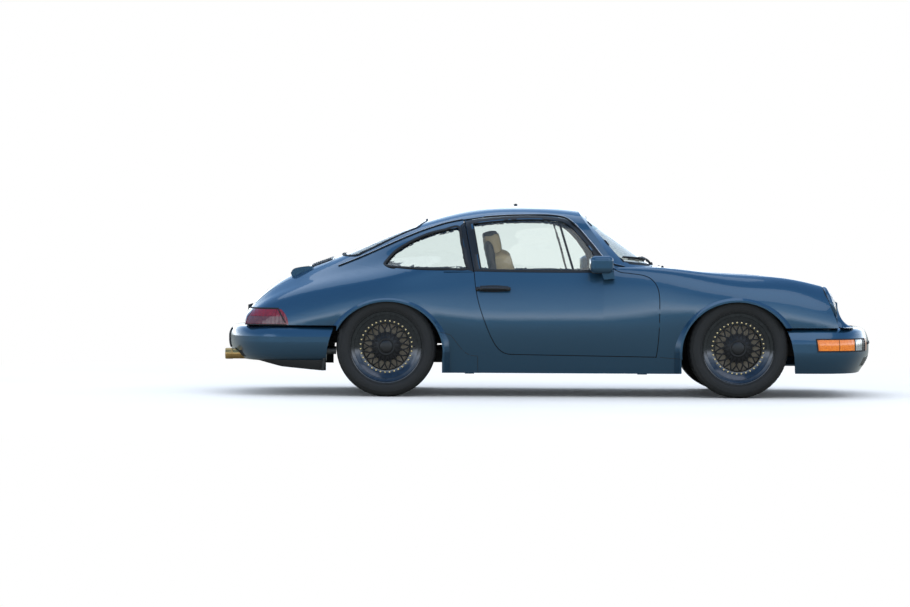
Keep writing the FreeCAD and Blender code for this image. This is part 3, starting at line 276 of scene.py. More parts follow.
def on_corner(middle, angle, z):
    """Angle 0 faces the right side of the car and 90 its end, seen from a middle point on its centre line."""
    turn = math.radians(angle)
    way = Vector((math.copysign(math.sin(turn), middle), -math.cos(turn), 0))
    start = Vector((middle, 0, z)) + way * AROUND
    return cast(SHELL, start, -way)


# Shapes
def spaced(first, last, count):
    """Evenly spaced values from the first to the last, with count steps between them."""
    return [first + (last - first) * step / count for step in range(count + 1)]


def stitched(rings, wide, closed):
    """Faces between neighbouring rings of points, with a face on each end of an open row of rings."""
    faces = []
    for index in range(rings if closed else rings - 1):
        here = index * wide
        there = ((index + 1) % rings) * wide
        for step in range(wide):
            after = (step + 1) % wide
            faces.append((here + step, here + after, there + after, there + step))
    if not closed:
        faces.append(tuple(range(wide)))
        faces.append(tuple((rings - 1) * wide + step for step in range(wide)))
    return faces


def flow(points, count, closed=False):
    """Points spread evenly along a smooth line through the given ones."""
    marks = [Vector(point) for point in points]
    total = len(marks)
    line = []
    for index in range(total if closed else total - 1):
        b = marks[index]
        c = marks[(index + 1) % total]
        a = marks[index - 1] if closed or index else b * 2 - c
        d = marks[(index + 2) % total] if closed or index < total - 2 else c * 2 - b
        for part in range(12):
            t = part / 12
            line.append(0.5 * (2 * b + (c - a) * t + (2 * a - 5 * b + 4 * c - d) * t ** 2
                               + (3 * b - a - 3 * c + d) * t ** 3))
    line.append(marks[0] if closed else marks[-1])
    reach = [0.0]
    for a, b in zip(line, line[1:]):
        reach.append(reach[-1] + (b - a).length)
    spread = []
    place = 0
    for index in range(count if closed else count + 1):
        want = reach[-1] * index / count
        while place < len(line) - 2 and reach[place + 1] < want:
            place += 1
        gap = reach[place + 1] - reach[place]
        spread.append(line[place].lerp(line[place + 1], (want - reach[place]) / gap if gap else 0))
    return spread


def outward(spot, way):
    """A placing whose Z axis points along a direction."""
    return Matrix.Translation(spot) @ way.to_track_quat("Z", "Y").to_matrix().to_4x4()


def made(name, verts, faces, mat, body, twin=False, sharp=35):
    """A mesh object that rides a body, and its mirror image on the left with twin."""
    mesh = bpy.data.meshes.new(name)
    mesh.from_pydata([tuple(vert) for vert in verts], [], faces)
    shape = bmesh.new()
    shape.from_mesh(mesh)
    bmesh.ops.recalc_face_normals(shape, faces=shape.faces)
    shape.to_mesh(mesh)
    shape.free()
    mesh.materials.append(mat)
    mesh.shade_smooth()
    mesh.set_sharp_from_angle(angle=math.radians(sharp))
    item = bpy.data.objects.new(name, mesh)
    scene.collection.objects.link(item)
    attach(item, body)
    if twin:
        flipped = [(vert[0], -vert[1], vert[2]) for vert in verts]
        other = LEFT.get(body, body)
        made(name + "_left", flipped, [tuple(reversed(face)) for face in faces], mat, other, False, sharp)
    return item


def evened(normals, closed=False, reach=2):
    """Directions averaged with their neighbours along a line."""
    total = len(normals)
    smooth = []
    for index in range(total):
        near = Vector()
        for step in range(-reach, reach + 1):
            place = (index + step) % total if closed else min(max(index + step, 0), total - 1)
            near += normals[place]
        smooth.append(near.normalized())
    return smooth


def steady(hits, axis, jump=40, reach=6):
    """Moves the hits that fell through a gap back to the line of their neighbours on a closed ring."""
    total = len(hits)
    good = []
    for index, (spot, normal) in enumerate(hits):
        near = sorted(hits[(index + step) % total][0][axis] for step in range(-reach, reach + 1))
        if abs(spot[axis] - near[reach]) < jump * MM:
            good.append(index)
    calm = []
    for index, (spot, normal) in enumerate(hits):
        before = min(good, key=lambda place: (index - place) % total)
        after = min(good, key=lambda place: (place - index) % total)
        span = ((index - before) % total) + ((after - index) % total)
        part = ((index - before) % total) / span if span else 0
        fixed = spot.copy()
        fixed[axis] = hits[before][0][axis] * (1 - part) + hits[after][0][axis] * part
        calm.append((fixed, hits[before][1].lerp(hits[after][1], part).normalized()))
    return calm


def trimmed(name, part, front_x, mat, body):
    """The outer form of a CAD solid, ended by an upright plane and closed there."""
    shape = bmesh.new()
    shape.from_mesh(NODES[part].data)
    bmesh.ops.remove_doubles(shape, verts=shape.verts, dist=1e-5)
    bmesh.ops.bisect_plane(shape, geom=shape.verts[:] + shape.edges[:] + shape.faces[:], dist=1e-6,
                           plane_co=(front_x * MM, 0, 0), plane_no=(1, 0, 0), clear_outer=True)
    open_edges = [edge for edge in shape.edges if edge.is_boundary]
    bmesh.ops.triangle_fill(shape, edges=open_edges)
    shape.verts.index_update()
    verts = [vert.co.copy() for vert in shape.verts]
    faces = [[vert.index for vert in face.verts] for face in shape.faces]
    shape.free()
    item = made(name, verts, faces, mat, body)
    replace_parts(item, part)
    return item


def ribbon(name, hits, profile, mat, body, closed=False, twin=True, sink=0.0):
    """Sweeps a closed profile of (across, out) points along surface hits."""
    spots = [hit[0] for hit in hits]
    normals = evened([hit[1] for hit in hits], closed)
    total = len(spots)
    wide = len(profile)
    verts = []
    for index, spot in enumerate(spots):
        ahead = spots[(index + 1) % total] if closed or index < total - 1 else spot
        behind = spots[index - 1] if closed or index else spot
        way = (ahead - behind).normalized()
        out = normals[index]
        across = way.cross(out).normalized()
        for side, rise in profile:
            verts.append(spot + across * side * MM + out * (rise - sink) * MM)
    return made(name, verts, stitched(total, wide, closed), mat, body, twin)


def strip(half, rise, down=2.0):
    """Profile of a flat strip with rounded shoulders."""
    return [(-half, -down), (-half, rise * 0.6), (-half * 0.8, rise), (half * 0.8, rise), (half, rise * 0.6),
            (half, -down)]


def border(rows, wide):
    """The places round the edge of a grid, as (row, step)."""
    places = [(0, step) for step in range(wide)] + [(row, wide - 1) for row in range(1, rows)]
    places += [(rows - 1, step) for step in range(wide - 2, -1, -1)]
    places += [(row, 0) for row in range(rows - 2, 0, -1)]
    return places


def patch(name, grid, lift, mat, body, twin=True, down=3.0):
    """A thin skin on a grid of surface hits, its border turned down."""
    rows = len(grid)
    wide = len(grid[0])
    verts = []
    for row in grid:
        for spot, normal in row:
            verts.append(spot + normal * lift * MM)
    faces = []
    for row in range(rows - 1):
        for step in range(wide - 1):
            here = row * wide + step
            faces.append((here, here + 1, here + wide + 1, here + wide))
    rim = border(rows, wide)
    base = len(verts)
    for row, step in rim:
        spot, normal = grid[row][step]
        verts.append(spot - normal * down * MM)
    for index, (row, step) in enumerate(rim):
        after = (index + 1) % len(rim)
        faces.append((row * wide + step, rim[after][0] * wide + rim[after][1], base + after, base + index))
    return made(name, verts, faces, mat, body, twin)


def between(first, second, count, across, hit):
    """Grid of hits from one line of flat points to another."""
    pairs = zip(flow(first, count), flow(second, count))
    return [[hit(*a.lerp(b, share)) for share in spaced(0, 1, across)] for a, b in pairs]


def turned(name, profile, matrix, mat, body, twin=False, steps=96, wave=None):
    """Revolves (radius, height) points about the Z axis of a matrix."""
    verts = []
    for turn in range(steps):
        angle = math.tau * turn / steps
        for index, (radius, height) in enumerate(profile):
            reach = radius + (wave(turn, index) if wave else 0.0)
            verts.append(matrix @ Vector((reach * math.cos(angle) * MM, reach * math.sin(angle) * MM,
                                          height * MM)))
    return made(name, verts, stitched(steps, len(profile), True), mat, body, twin)


def tube(name, points, radius, mat, body, count=24, sides=12, twin=False, closed=False, taper=None):
    """A round bar along a smooth line of points."""
    spots = [point * MM for point in flow(points, count, closed)]
    verts = []
    total = len(spots)
    up = Vector((0.01, 0.02, 1.0))
    for index, spot in enumerate(spots):
        ahead = spots[(index + 1) % total] if closed or index < total - 1 else spot
        behind = spots[index - 1] if closed or index else spot
        way = (ahead - behind).normalized()
        across = way.cross(up).normalized()
        rise = across.cross(way)
        size = radius * (taper(index / (total - 1)) if taper else 1.0)
        for side in range(sides):
            angle = math.tau * side / sides
            verts.append(spot + (across * math.cos(angle) + rise * math.sin(angle)) * size * MM)
    return made(name, verts, stitched(total, sides, closed), mat, body, twin)


def pillow(name, centre, half, lean, mat, body, round_off=0.55, crown=0.12, grooves=(), cuts=22):
    """A crowned, rounded block with pressed seams. Grooves are (axis, place, depth, across)."""
    shape = bmesh.new()
    bmesh.ops.create_cube(shape, size=2.0)
    bmesh.ops.subdivide_edges(shape, edges=shape.edges, cuts=cuts, use_grid_fill=True)
    turn = Matrix.Rotation(math.radians(lean), 4, "Y")
    for vert in shape.verts:
        u, v, w = vert.co
        ball = Vector((u * math.sqrt(1 - v * v / 2 - w * w / 2 + v * v * w * w / 3),
                       v * math.sqrt(1 - w * w / 2 - u * u / 2 + w * w * u * u / 3),
                       w * math.sqrt(1 - u * u / 2 - v * v / 2 + u * u * v * v / 3)))
        soft = Vector((u, v, w)).lerp(ball, round_off)
        bulge = 1 + crown * (1 - u * u) * (1 - v * v) * (1 - w * w * 0.2)
        place = Vector((soft.x * half[0], soft.y * half[1], soft.z * half[2]))
        thin = min(range(3), key=lambda axis: half[axis])
        press = 0.0
        for axis, spot, depth, width in grooves:
            press += depth * math.exp(-((vert.co[axis] - spot) * half[axis] / width) ** 2)
        place[thin] = place[thin] * bulge * (1 if abs(place[thin]) < half[thin] * 0.2 else
                                             max(0.4, 1 - press / half[thin]))
        vert.co = (turn @ place + Vector(centre)) * MM
    mesh = bpy.data.meshes.new(name)
    shape.to_mesh(mesh)
    shape.free()
    mesh.materials.append(mat)
    mesh.shade_smooth()
    item = bpy.data.objects.new(name, mesh)
    scene.collection.objects.link(item)
    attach(item, body)
    return item


# Window trim. The outlines are (x, z) in millimetres on the right side.
WINDOW = [(300, 822), (278, 910), (198, 1028), (128, 1102), (58, 1137), (-47, 1149), (-263, 1146),
          (-478, 1125), (-516, 1119)]
FRAME = [(398, 828), (346, 884), (246, 1012), (156, 1106), (86, 1148), (-47, 1168), (-263, 1166),
         (-478, 1146), (-560, 1133)]
over_glass = between(WINDOW, FRAME, 90, 3, on_side)
patch("door_frame_trim", over_glass, 1.6, TRIM, "right_door")
post = between([(-514, 1122), (-486, 970), (-456, 818)], [(-560, 1132), (-530, 970), (-500, 808)],
               30, 3, on_side)
patch("door_post_trim", post, 1.6, TRIM, "right_door")
belt = [on_side(x, 814 + 0.00002 * (x - 20) ** 2) for x in range(-498, 400, 16)]
ribbon("door_belt_trim", belt, strip(9, 4), TRIM, "right_door")
glass_run = [on_side(*spot) for spot in flow([(290, 826), (276, 910), (196, 1027), (126, 1100), (56, 1134),
             (-47, 1146), (-263, 1143), (-478, 1122), (-508, 1116), (-490, 1000), (-460, 826)], 110)]
ribbon("door_glass_seal", glass_run, strip(5, 3), SEAL, "right_door")
vent = [on_side(*spot) for spot in flow([(46, 1136), (138, 818)], 30)]
ribbon("vent_bar", vent, strip(7, 6, 3), TRIM, "right_door")
post = between([(-568, 1128), (-540, 970), (-509, 812)], [(-604, 1096), (-574, 960), (-546, 818)],
               30, 3, on_side)
patch("rear_post_trim", post, 1.6, TRIM, "chassis")
QUARTER = [(-602, 1094), (-700, 1076), (-800, 1050), (-910, 1001), (-1011, 939), (-1072, 872), (-1084, 850),
           (-1068, 837), (-1011, 831), (-824, 820), (-700, 820), (-548, 822), (-556, 870), (-580, 990)]
PANE_SEAL = [(-11, -8), (-11, 9), (-7, 12), (4, 12), (7, 8), (7, -8)]
ring = [on_pane(on_side, (0, 2), spot, (-800, 920)) for spot in flow(QUARTER, 150, True)]
ribbon("quarter_window_seal", steady(ring, 1, 12), PANE_SEAL, SEAL, "chassis", True)
RAIL = [(-1387, 863), (-1200, 962), (-982, 1037), (-767, 1095), (-551, 1141), (-335, 1163), (-119, 1170),
        (17, 1166), (98, 1147), (162, 1094), (258, 983), (354, 872), (470, 836)]
rail = [on_slope(x, z + 8) if x < -640 else on_side(x, z + 8) for x, z in flow(RAIL, 190)]
ribbon("drip_rail", rail, [(-5, -2), (-5, 5), (-2, 7), (4, 7), (5, 4), (5, -2)], TRIM, "chassis")
# Painted highlight: a bright metal bead beside the rail stands in for the light line that runs along it.
ribbon("drip_rail_painted_highlight", rail, [(-9, -1), (-9, 3.5), (-7.5, 5), (-5.5, 5), (-4.5, 3.5), (-4.5, -1)], BRIGHT,
       "chassis")

SCREEN = [(-596, 874), (-450, 862), (-300, 856), (0, 851), (300, 856), (450, 862), (596, 874), (603, 900),
          (582, 985), (552, 1050), (520, 1110), (494, 1140), (420, 1153), (300, 1166), (0, 1177),
          (-300, 1166), (-420, 1153), (-494, 1140), (-520, 1110), (-552, 1050), (-582, 985), (-603, 900)]
ring = steady([on_front(*spot) for spot in flow(SCREEN, 200, True)], 0)
ribbon("windscreen_seal", ring, [(-12, -2), (-12, 2.5), (-6, 5), (6, 4), (11, 1), (11, -2)], SEAL, "chassis",
       True, False)
band = between([(-474, 1140), (0, 1176), (474, 1140)], [(-512, 1082), (0, 1108), (512, 1082)], 60, 6,
               on_front)
patch("windscreen_shade_band", band, 1.0, SHADE, "chassis", False, 0.5)
REAR = [(-470, 902), (-250, 910), (0, 913), (250, 910), (470, 902), (485, 930), (481, 985), (462, 1058),
        (436, 1094), (250, 1126), (0, 1140), (-250, 1126), (-436, 1094), (-462, 1058), (-481, 985),
        (-485, 930)]
ring = [on_pane(on_back, (1, 2), spot, (0, 1020)) for spot in flow(REAR, 180, True)]
ribbon("rear_window_seal", steady(ring, 0, 50), PANE_SEAL, SEAL, "chassis", True, False)
for index in range(14):
    z = 930 + index * 14
    wide = 440 - max(0, z - 1060) * 0.5
    line = [on_back(y, z) for y in spaced(-wide, wide, 20)]
    ribbon("heater_line_%d" % index, line, strip(0.7, 0.5, 0.2), THREAD, "chassis", False, False)

# Seals inside the panel gaps
GROOVE = [(-8, -20), (-8, -14), (8, -14), (8, -20)]
DOOR_EDGE = [(-500, 803), (-493, 724), (-471, 608), (-428, 479), (-378, 365), (-335, 307), (-280, 281),
             (0, 274), (300, 270), (640, 266), (672, 300), (688, 420), (691, 573), (688, 669), (667, 733),
             (626, 773), (560, 795), (483, 805), (420, 824)]
edge = [on_gap(*spot) for spot in flow(DOOR_EDGE, 160)]
ribbon("door_gap_seal", edge, GROOVE, SEAL, "chassis", False, True)
UPPER = [(392, 838), (346, 888), (246, 1017), (156, 1111), (86, 1153), (-47, 1173), (-263, 1171),
         (-478, 1151), (-566, 1137), (-537, 970), (-504, 806)]
edge = [on_gap(*spot) for spot in flow(UPPER, 130)]
ribbon("door_frame_seal", edge, GROOVE, SEAL, "chassis", False, True)


def seam(name, points, body, count=60, hit=on_side, half=1.4, twin=True):
    line = [hit(*spot) for spot in flow(points, count)]
    ribbon(name, line, strip(half, 0.7, 1.5), SEAL, body, False, twin)


seam("rear_rocker_seam", [(-742, 421), (-700, 414), (-658, 401), (-640, 384), (-578, 306), (-530, 272),
                          (-479, 264)],
     "chassis")
seam("rocker_end_seam", [(-478, 262), (-477, 210), (-476, 162)], "chassis", 20)
seam("front_rocker_seam", [(834, 252), (760, 257), (696, 262)], "chassis", 20)

# Wheels: tag, body, place and width
WHEELS = (("fr", "wheel_front_right", 1204, -670, 205), ("fl", "wheel_front_left", 1204, 670, 205),
          ("rr", "wheel_rear_right", -1068, -676, 235), ("rl", "wheel_rear_left", -1068, 676, 235))


def tyre_profile(half):
    side = [(224, 0.80), (224, 0.86), (231, 0.925), (237, 0.945), (238, 0.975), (243, 0.985), (244, 0.965),
            (252, 0.985), (262, 0.998), (276, 1.0), (288, 0.985), (289, 0.995), (294, 0.985), (295, 0.955),
            (304, 0.93), (312, 0.885), (317, 0.85), (321, 0.78), (322.5, 0.68), (322.8, 0.55), (316, 0.54),
            (316, 0.47), (323, 0.46), (323, 0.2), (316, 0.19), (316, 0.10), (323, 0.09)]
    outer = [(radius, share * half) for radius, share in side]
    inner = [(radius, -share * half) for radius, share in reversed(side)]
    return outer + inner


def tread(turn, index):
    cut = turn % 5 == 0
    return -5.0 if cut and (16 <= index <= 18 or 35 <= index <= 37) else 0.0


def bar(points, half, depth):
    """A tapered bar: points are (place, half width share), height along Z."""
    verts = []
    for (x, y, z), across in points:
        verts.extend([Vector((x, y, z)) - across * half,
                      Vector((x, y, z + depth * 0.35)) - across * half * 0.45,
                      Vector((x, y, z + depth * 0.35)) + across * half * 0.45,
                      Vector((x, y, z)) + across * half, Vector((x, y, z - depth)) + across * half * 0.8,
                      Vector((x, y, z - depth)) - across * half * 0.8])
    faces = []
    for index in range(len(points) - 1):
        for step in range(6):
            after = (step + 1) % 6
            faces.append((index * 6 + step, index * 6 + after, index * 6 + 6 + after, index * 6 + 6 + step))
    faces.append(tuple(range(6)))
    faces.append(tuple((len(points) - 1) * 6 + step for step in range(6)))
    return verts, faces


def rim_barrel(tag, lip, face, half, spin, body):
    """The dark barrel from its outer lip over the drop well to the inner lip."""
    outer = [(233, lip - 9), (235.5, lip - 5), (235.5, lip - 1), (233, lip + 1.5), (229, lip + 1),
             (226, lip - 3), (212, lip - 7), (206, lip - 8), (204.5, lip - 13), (188, lip - 20),
             (182, lip - 22), (181, lip - 33)]
    seat = [(178, face - 1), (152, face - 1), (150, face - 4), (150, face - 14), (170, face - 16),
            (190, face - 30), (196, face - 60)]
    inner = [(196, -half * 0.78), (214, -half * 0.84), (220, -half * 0.86), (234, -half * 0.87),
             (234, -half * 0.91), (216, -half * 0.92), (221.5, -half * 0.78)]
    back = [(221.5, lip - 22), (222, lip - 12)]
    return turned("rim_barrel_" + tag, outer + seat + inner + back, spin, CHROME, body, steps=144)


def rim_centre(tag, face, spin, body):
    """Hub and bare cap."""
    turned("rim_hub_" + tag, [(44, face + 13), (54, face + 13), (58, face + 9), (66, face + 6),
                              (90, face - 1), (94, face - 5), (94, face - 13), (60, face - 24),
                              (44, face - 40), (30, face - 40), (30, face + 2), (42, face + 4)], spin, RIM,
                              body, steps=96)
    turned("rim_cap_" + tag, [(0, face + 17), (20, face + 16.4), (34, face + 15), (40, face + 12),
                              (41.5, face + 8), (41.5, face), (0, face)], spin, TRIM, body, steps=72)


BOLTS = 35
BOLT_CIRCLE = 166
BOLT_RINGS = ((6.2, 0), (6.2, 2.6), (5.0, 4.0), (3.4, 4.2), (3.2, 2.8))
BOLT_CORNERS = 12


def rim_bolts(tag, face, spin, body):
    """A ring of round-headed bolts with a socket in each."""
    verts = []
    faces = []
    for index in range(BOLTS):
        angle = math.tau * index / BOLTS
        middle = Vector((BOLT_CIRCLE * math.cos(angle), BOLT_CIRCLE * math.sin(angle), face - 1))
        start = len(verts)
        for radius, rise in BOLT_RINGS:
            for corner in range(BOLT_CORNERS):
                a = math.tau * corner / BOLT_CORNERS
                spoke = Vector((radius * math.cos(a), radius * math.sin(a), rise))
                verts.append(spin @ ((middle + spoke) * MM))
        for side in stitched(len(BOLT_RINGS), BOLT_CORNERS, False):
            faces.append(tuple(start + place for place in side))
    made("rim_bolts_" + tag, verts, faces, GOLD, body)


SPOKES = 17
SPOKE_LEAN = math.radians(10.6)
SPOKE_INNER = 62
SPOKE_REACH = 92


def rim_mesh(tag, face, spin, body):
    """Crossed spokes: at each place one leans forward and one back."""
    verts = []
    faces = []
    for index in range(SPOKES):
        for lean in (-1, 1):
            start_angle = math.tau * index / SPOKES
            points = []
            for step in range(6):
                share = step / 5
                radius = SPOKE_INNER + SPOKE_REACH * share
                angle = start_angle + lean * SPOKE_LEAN * (1 - share) * 2.0
                height = face + 7 * (1 - share) - 1 + 0.4 * lean
                place = Vector((radius * math.cos(angle), radius * math.sin(angle), height))
                after = start_angle + lean * SPOKE_LEAN * (1 - share - 0.02) * 2.0
                ahead = Vector(((radius + 2) * math.cos(after), (radius + 2) * math.sin(after), height))
                across = (ahead - place).normalized().cross(Vector((0, 0, 1)))
                points.append((tuple(place), across))
            more, sides = bar(points, 4.6, 12)
            base = len(verts)
            verts.extend(spin @ (vert * MM) for vert in more)
            faces.extend(tuple(base + corner for corner in side) for side in sides)
    made("rim_mesh_" + tag, verts, faces, RIM, body, sharp=25)


def brake_and_valve(tag, face, spin, body):
    turned("brake_disc_" + tag, [(58, face - 40), (80, face - 40), (82, face - 48), (148, face - 48),
                                 (150, face - 50), (150, face - 72), (148, face - 74), (82, face - 74),
                                 (58, face - 60)],
           spin, DISC, body, steps=120)
    stem = [spin @ (Vector((174, 0, face - 2)) * MM) / MM, spin @ (Vector((171, 0, face + 14)) * MM) / MM]
    tube("tyre_valve_" + tag, stem, 3.2, TRIM, body, 4, 10)


AXLE_HEIGHT = 323
for tag, body, x, y, wide in WHEELS:
    half = wide / 2
    out = 1 if y < 0 else -1
    turn = Matrix.Rotation(math.radians(90 * out), 4, "X")
    spin = Matrix.Translation(Vector((x, y, AXLE_HEIGHT)) * MM) @ turn
    tyre = turned("road_tyre_" + tag, tyre_profile(half), spin, RUBBER, body, steps=240, wave=tread)
    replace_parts(tyre, "tyre_" + tag)
    lip = wide * 0.915 + 11 - half
    face = lip - 34
    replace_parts(rim_barrel(tag, lip, face, half, spin, body), "rim_" + tag)
    rim_centre(tag, face, spin, body)
    rim_bolts(tag, face, spin, body)
    rim_mesh(tag, face, spin, body)
    brake_and_valve(tag, face, spin, body)

# Headlamps
LAMP_TURN = math.radians(69)
lamp = Matrix.Translation((1.795, -0.592, 0.612)) @ Matrix.Rotation(LAMP_TURN, 4, "Y")
rim = turned("headlamp_rim", [(99, 2), (113, 2), (112.6, 12), (110, 20), (105, 24.5), (100, 25), (98, 21),
                              (98, 6)],
             lamp, PAINT, "chassis", True, 128)
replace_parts(rim, "headlamps")
turned("headlamp_gasket", [(104, -2), (114.5, -2), (114.5, 3), (113, 4), (104, 4)], lamp, SEAL, "chassis",
       True, 128)
turned("headlamp_bezel", [(92, 20), (98.5, 27), (98.5, 22), (94, 12), (92, 12)], lamp, BRIGHT, "chassis",
       True, 128)
bowl = [(93, 14), (88, 2), (74, -22), (52, -46), (28, -58), (0, -62)]
turned("headlamp_bowl", bowl + [(0, -64), (30, -60), (55, -48), (77, -23), (91, 2), (95, 14)], lamp, BRIGHT,
       "chassis", True, 128)
dome = [(radius, 22 + 26 * (1 - (radius / 96) ** 2)) for radius in (96, 88, 76, 62, 46, 30, 15, 0)]
inner = [(radius, rise - 4) for radius, rise in reversed(dome)]
turned("headlamp_lens", dome + inner, lamp, LENS, "chassis", True, 128)
turned("headlamp_bulb_shield", [(0, 4), (14, 2), (20, -6), (21, -20), (16, -56), (0, -58)], lamp, CHROME,
       "chassis", True, 48)

# Front indicators: black frame, divider, black bar and clear end


def corner_line(middle, first, last, z0, z1, count=30):
    """Hits round a corner of the car, from one angle and height to another."""
    return [on_corner(middle, turn, z) for turn, z in zip(spaced(first, last, count), spaced(z0, z1, count))]


def corner_grid(middle, first, last, heights, count):
    """Rows of hits round a corner of the car."""
    return [[on_corner(middle, turn, z) for turn in spaced(first, last, count)] for z in heights]


def turn_at(middle, x, y):
    """The angle of on_corner at a place of the plan."""
    return math.degrees(math.atan2(abs(x - middle), -y))


FRONT_MIDDLE = 1400
start = turn_at(FRONT_MIDDLE, 1712, -783)
end = turn_at(FRONT_MIDDLE, 2022, -578)
bar_at = turn_at(FRONT_MIDDLE, 1969, -668)
split_at = turn_at(FRONT_MIDDLE, 1856, -752)
last = turn_at(FRONT_MIDDLE, 2052, -510)
grid = corner_grid(FRONT_MIDDLE, start + 0.5, bar_at, (309, 320, 332, 345, 358, 370, 381), 30)
patch("indicator_lens", grid, 3.0, AMBER, "chassis")
grid = corner_grid(FRONT_MIDDLE, bar_at, end, (309, 330, 350, 370, 381), 8)
patch("marker_lens", grid, 3.0, CLEAR, "chassis")
grid = corner_grid(FRONT_MIDDLE, end, last, (307, 330, 360, 383), 12)
patch("front_vent", grid, 1.2, TRIM, "chassis")
for index in range(5):
    z = 318 + index * 13
    ribbon("front_vent_slat_%d" % index, corner_line(FRONT_MIDDLE, end + 0.6, last - 0.6, z, z, 10),
           strip(2.2, 5), TRIM, "chassis")
line = corner_line(FRONT_MIDDLE, start, last, 306, 306, 60)
line += corner_line(FRONT_MIDDLE, last, last, 306, 384, 10)[1:]
line += corner_line(FRONT_MIDDLE, last, start - 0.6, 384, 384, 60)[1:]
line += corner_line(FRONT_MIDDLE, start - 0.6, start, 384, 306, 10)[1:-1]
ribbon("indicator_frame", line, strip(4.5, 4.5, 4), SEAL, "chassis", True)
ribbon("indicator_divider", corner_line(FRONT_MIDDLE, split_at, split_at, 306, 384, 8), strip(1.6, 4.6), SEAL,
       "chassis")
ribbon("indicator_bar", corner_line(FRONT_MIDDLE, bar_at, bar_at, 306, 384, 8), strip(6, 5), SEAL, "chassis")

# Tail lamps: black top seal, slanted front edge and coloured parts
REAR_MIDDLE = -1400
front_top = turn_at(REAR_MIDDLE, -1752, -690)
front_low = turn_at(REAR_MIDDLE, -1700, -740)
inner_turn = turn_at(REAR_MIDDLE, -1985, -345)
ribbon("tail_lamp_top_seal", corner_line(REAR_MIDDLE, front_top, inner_turn, 564, 564, 60), strip(5, 4.5),
       SEAL, "chassis")
ribbon("tail_lamp_front_seal", corner_line(REAR_MIDDLE, front_low, front_top, 461, 566, 14), strip(4, 4),
       SEAL, "chassis")
ribbon("tail_lamp_low_seal", corner_line(REAR_MIDDLE, front_low, inner_turn, 460, 460, 60), strip(4, 3), SEAL,
       "chassis")
mid_a = front_top + 15
mid_b = front_top + 29


def lamp_grid(first, last, z0, z1, count):
    """Rows of hits for one part of the tail lamp."""
    return corner_grid(REAR_MIDDLE, first, last, spaced(z0, z1, 6), count)


patch("tail_side_lens", lamp_grid(front_top + 0.6, mid_a, 516, 558, 24), 2.4, RED, "chassis")
patch("tail_side_low_lens", lamp_grid(front_low + 1.2, mid_a, 467, 512, 24), 2.0, SMOKE, "chassis")
patch("tail_amber_lens", lamp_grid(mid_a + 0.6, mid_b, 467, 558, 20), 2.4, SMOKE, "chassis")
patch("tail_inner_lens", lamp_grid(mid_b + 0.6, inner_turn - 1, 467, 558, 30), 2.4, RED, "chassis")
grid = [[cast(SHELL, (BEHIND, y, z), (1, 0, 0)) for y in spaced(-326, 326, 40)] for z in spaced(470, 556, 6)]
patch("rear_reflector", grid, 2.4, RED, "chassis", False)

# Front wings, which end in the plane of the lamps, and the panel between them
LAMP_BACK = 1872
APRON_LOW = 457.5
WINGS = surface("front_fender_right", "front_fender_left", "front_lid")


def apron_top(y):
    """Height of the panel's upper edge: below the lid in the middle, below the lamps beside it."""
    spots = [cast(WINGS, (LAMP_BACK - 3, y + step, 1200),
                  (0, 0, -1))[0].z / MM for step in (-12, -6, 0, 6, 12)]
    high = sum(spots) / len(spots)
    return min(high, 640 if abs(y) < 480 else 522)


def apron_front(y):
    """How far the panel's lower edge reaches forward."""
    wide = abs(y)
    if wide < 458:
        return 1992 - 12 * (wide / 458) ** 2
    turn = min((wide - 458) / 268, 1)
    return 1874 + 106 * math.sqrt(max(0, 1 - turn ** 2.2))


def nose_apron():
    """The sloping panel between the wings, from the lid's edge and the lamps down to the bumper."""
    count = 120
    rows = 14
    outer = []
    for index in range(count + 1):
        y = -724 + 1448 * index / count
        start = 1883 if abs(y) < 400 else max(1874, 1883 - (abs(y) - 400) * 0.2)
        top = max(apron_top(y) - 2, APRON_LOW + 3)
        for step in range(rows + 1):
            t = step / rows
            x = start * (1 - t) ** 2 + (start + 12) * 2 * t * (1 - t) + max(apron_front(y), start + 2) * t * t
            z = top * (1 - t) ** 2 + min(top, 478) * 2 * t * (1 - t) + APRON_LOW * t * t
            outer.append(Vector((x, y, z)) * MM)
    inner = [spot + Vector((-0.002, 0, -0.0015)) for spot in outer]
    wide = rows + 1
    base = len(outer)
    faces = []
    for index in range(count):
        for step in range(rows):
            here = index * wide + step
            ring = (here, here + 1, here + 1 + wide, here + wide)
            faces.append(ring)
            faces.append(tuple(base + place for place in reversed(ring)))
    rim = [index * wide + step for index, step in border(count + 1, wide)]
    for first, second in zip(rim, rim[1:] + rim[:1]):
        faces.append((second, first, base + first, base + second))
    return made("nose_apron", outer + inner, faces, PAINT, "chassis", False, 40)


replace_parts(nose_apron(), "nose_panel")
for side, tag in SIDES:
    trimmed("front_wing_" + tag, "front_fender_" + tag, LAMP_BACK, PAINT, "chassis")


# Dark side valance below the rear bumper
def valance_low(x):
    """Height of the valance's lower edge."""
    marks = ((-1990, 238), (-1900, 226), (-1750, 190), (-1500, 166), (-1400, 166))
    for (a, low), (b, high) in zip(marks, marks[1:]):
        if x <= b:
            return low + (high - low) * max(0, x - a) / (b - a)
    return marks[-1][1]


def rear_valance():
    """Runs from behind the rear wheel round the corner and fades out below the bumper."""
    line = [on_side(-1440 - 260 * step / 30, 246) for step in range(30)]
    line += [on_corner(-1700, 75 * step / 40, 246) for step in range(41)]
    verts = []
    for spot, normal in line:
        if spot.x < -1.99 or spot.x > -1.44:
            continue
        flat_way = Vector((normal.x, normal.y, 0)).normalized()
        edge = spot - flat_way * 0.022
        low = valance_low(edge.x / MM)
        for depth, z in ((0, 250), (0, (250 + low) / 2), (10, low), (16, low), (6, 250)):
            verts.append(edge - flat_way * depth * MM + Vector((0, 0, z * MM - edge.z)))
    return made("rear_valance", verts, stitched(len(verts) // 5, 5, False), TRIM, "chassis", True)


rear_valance()

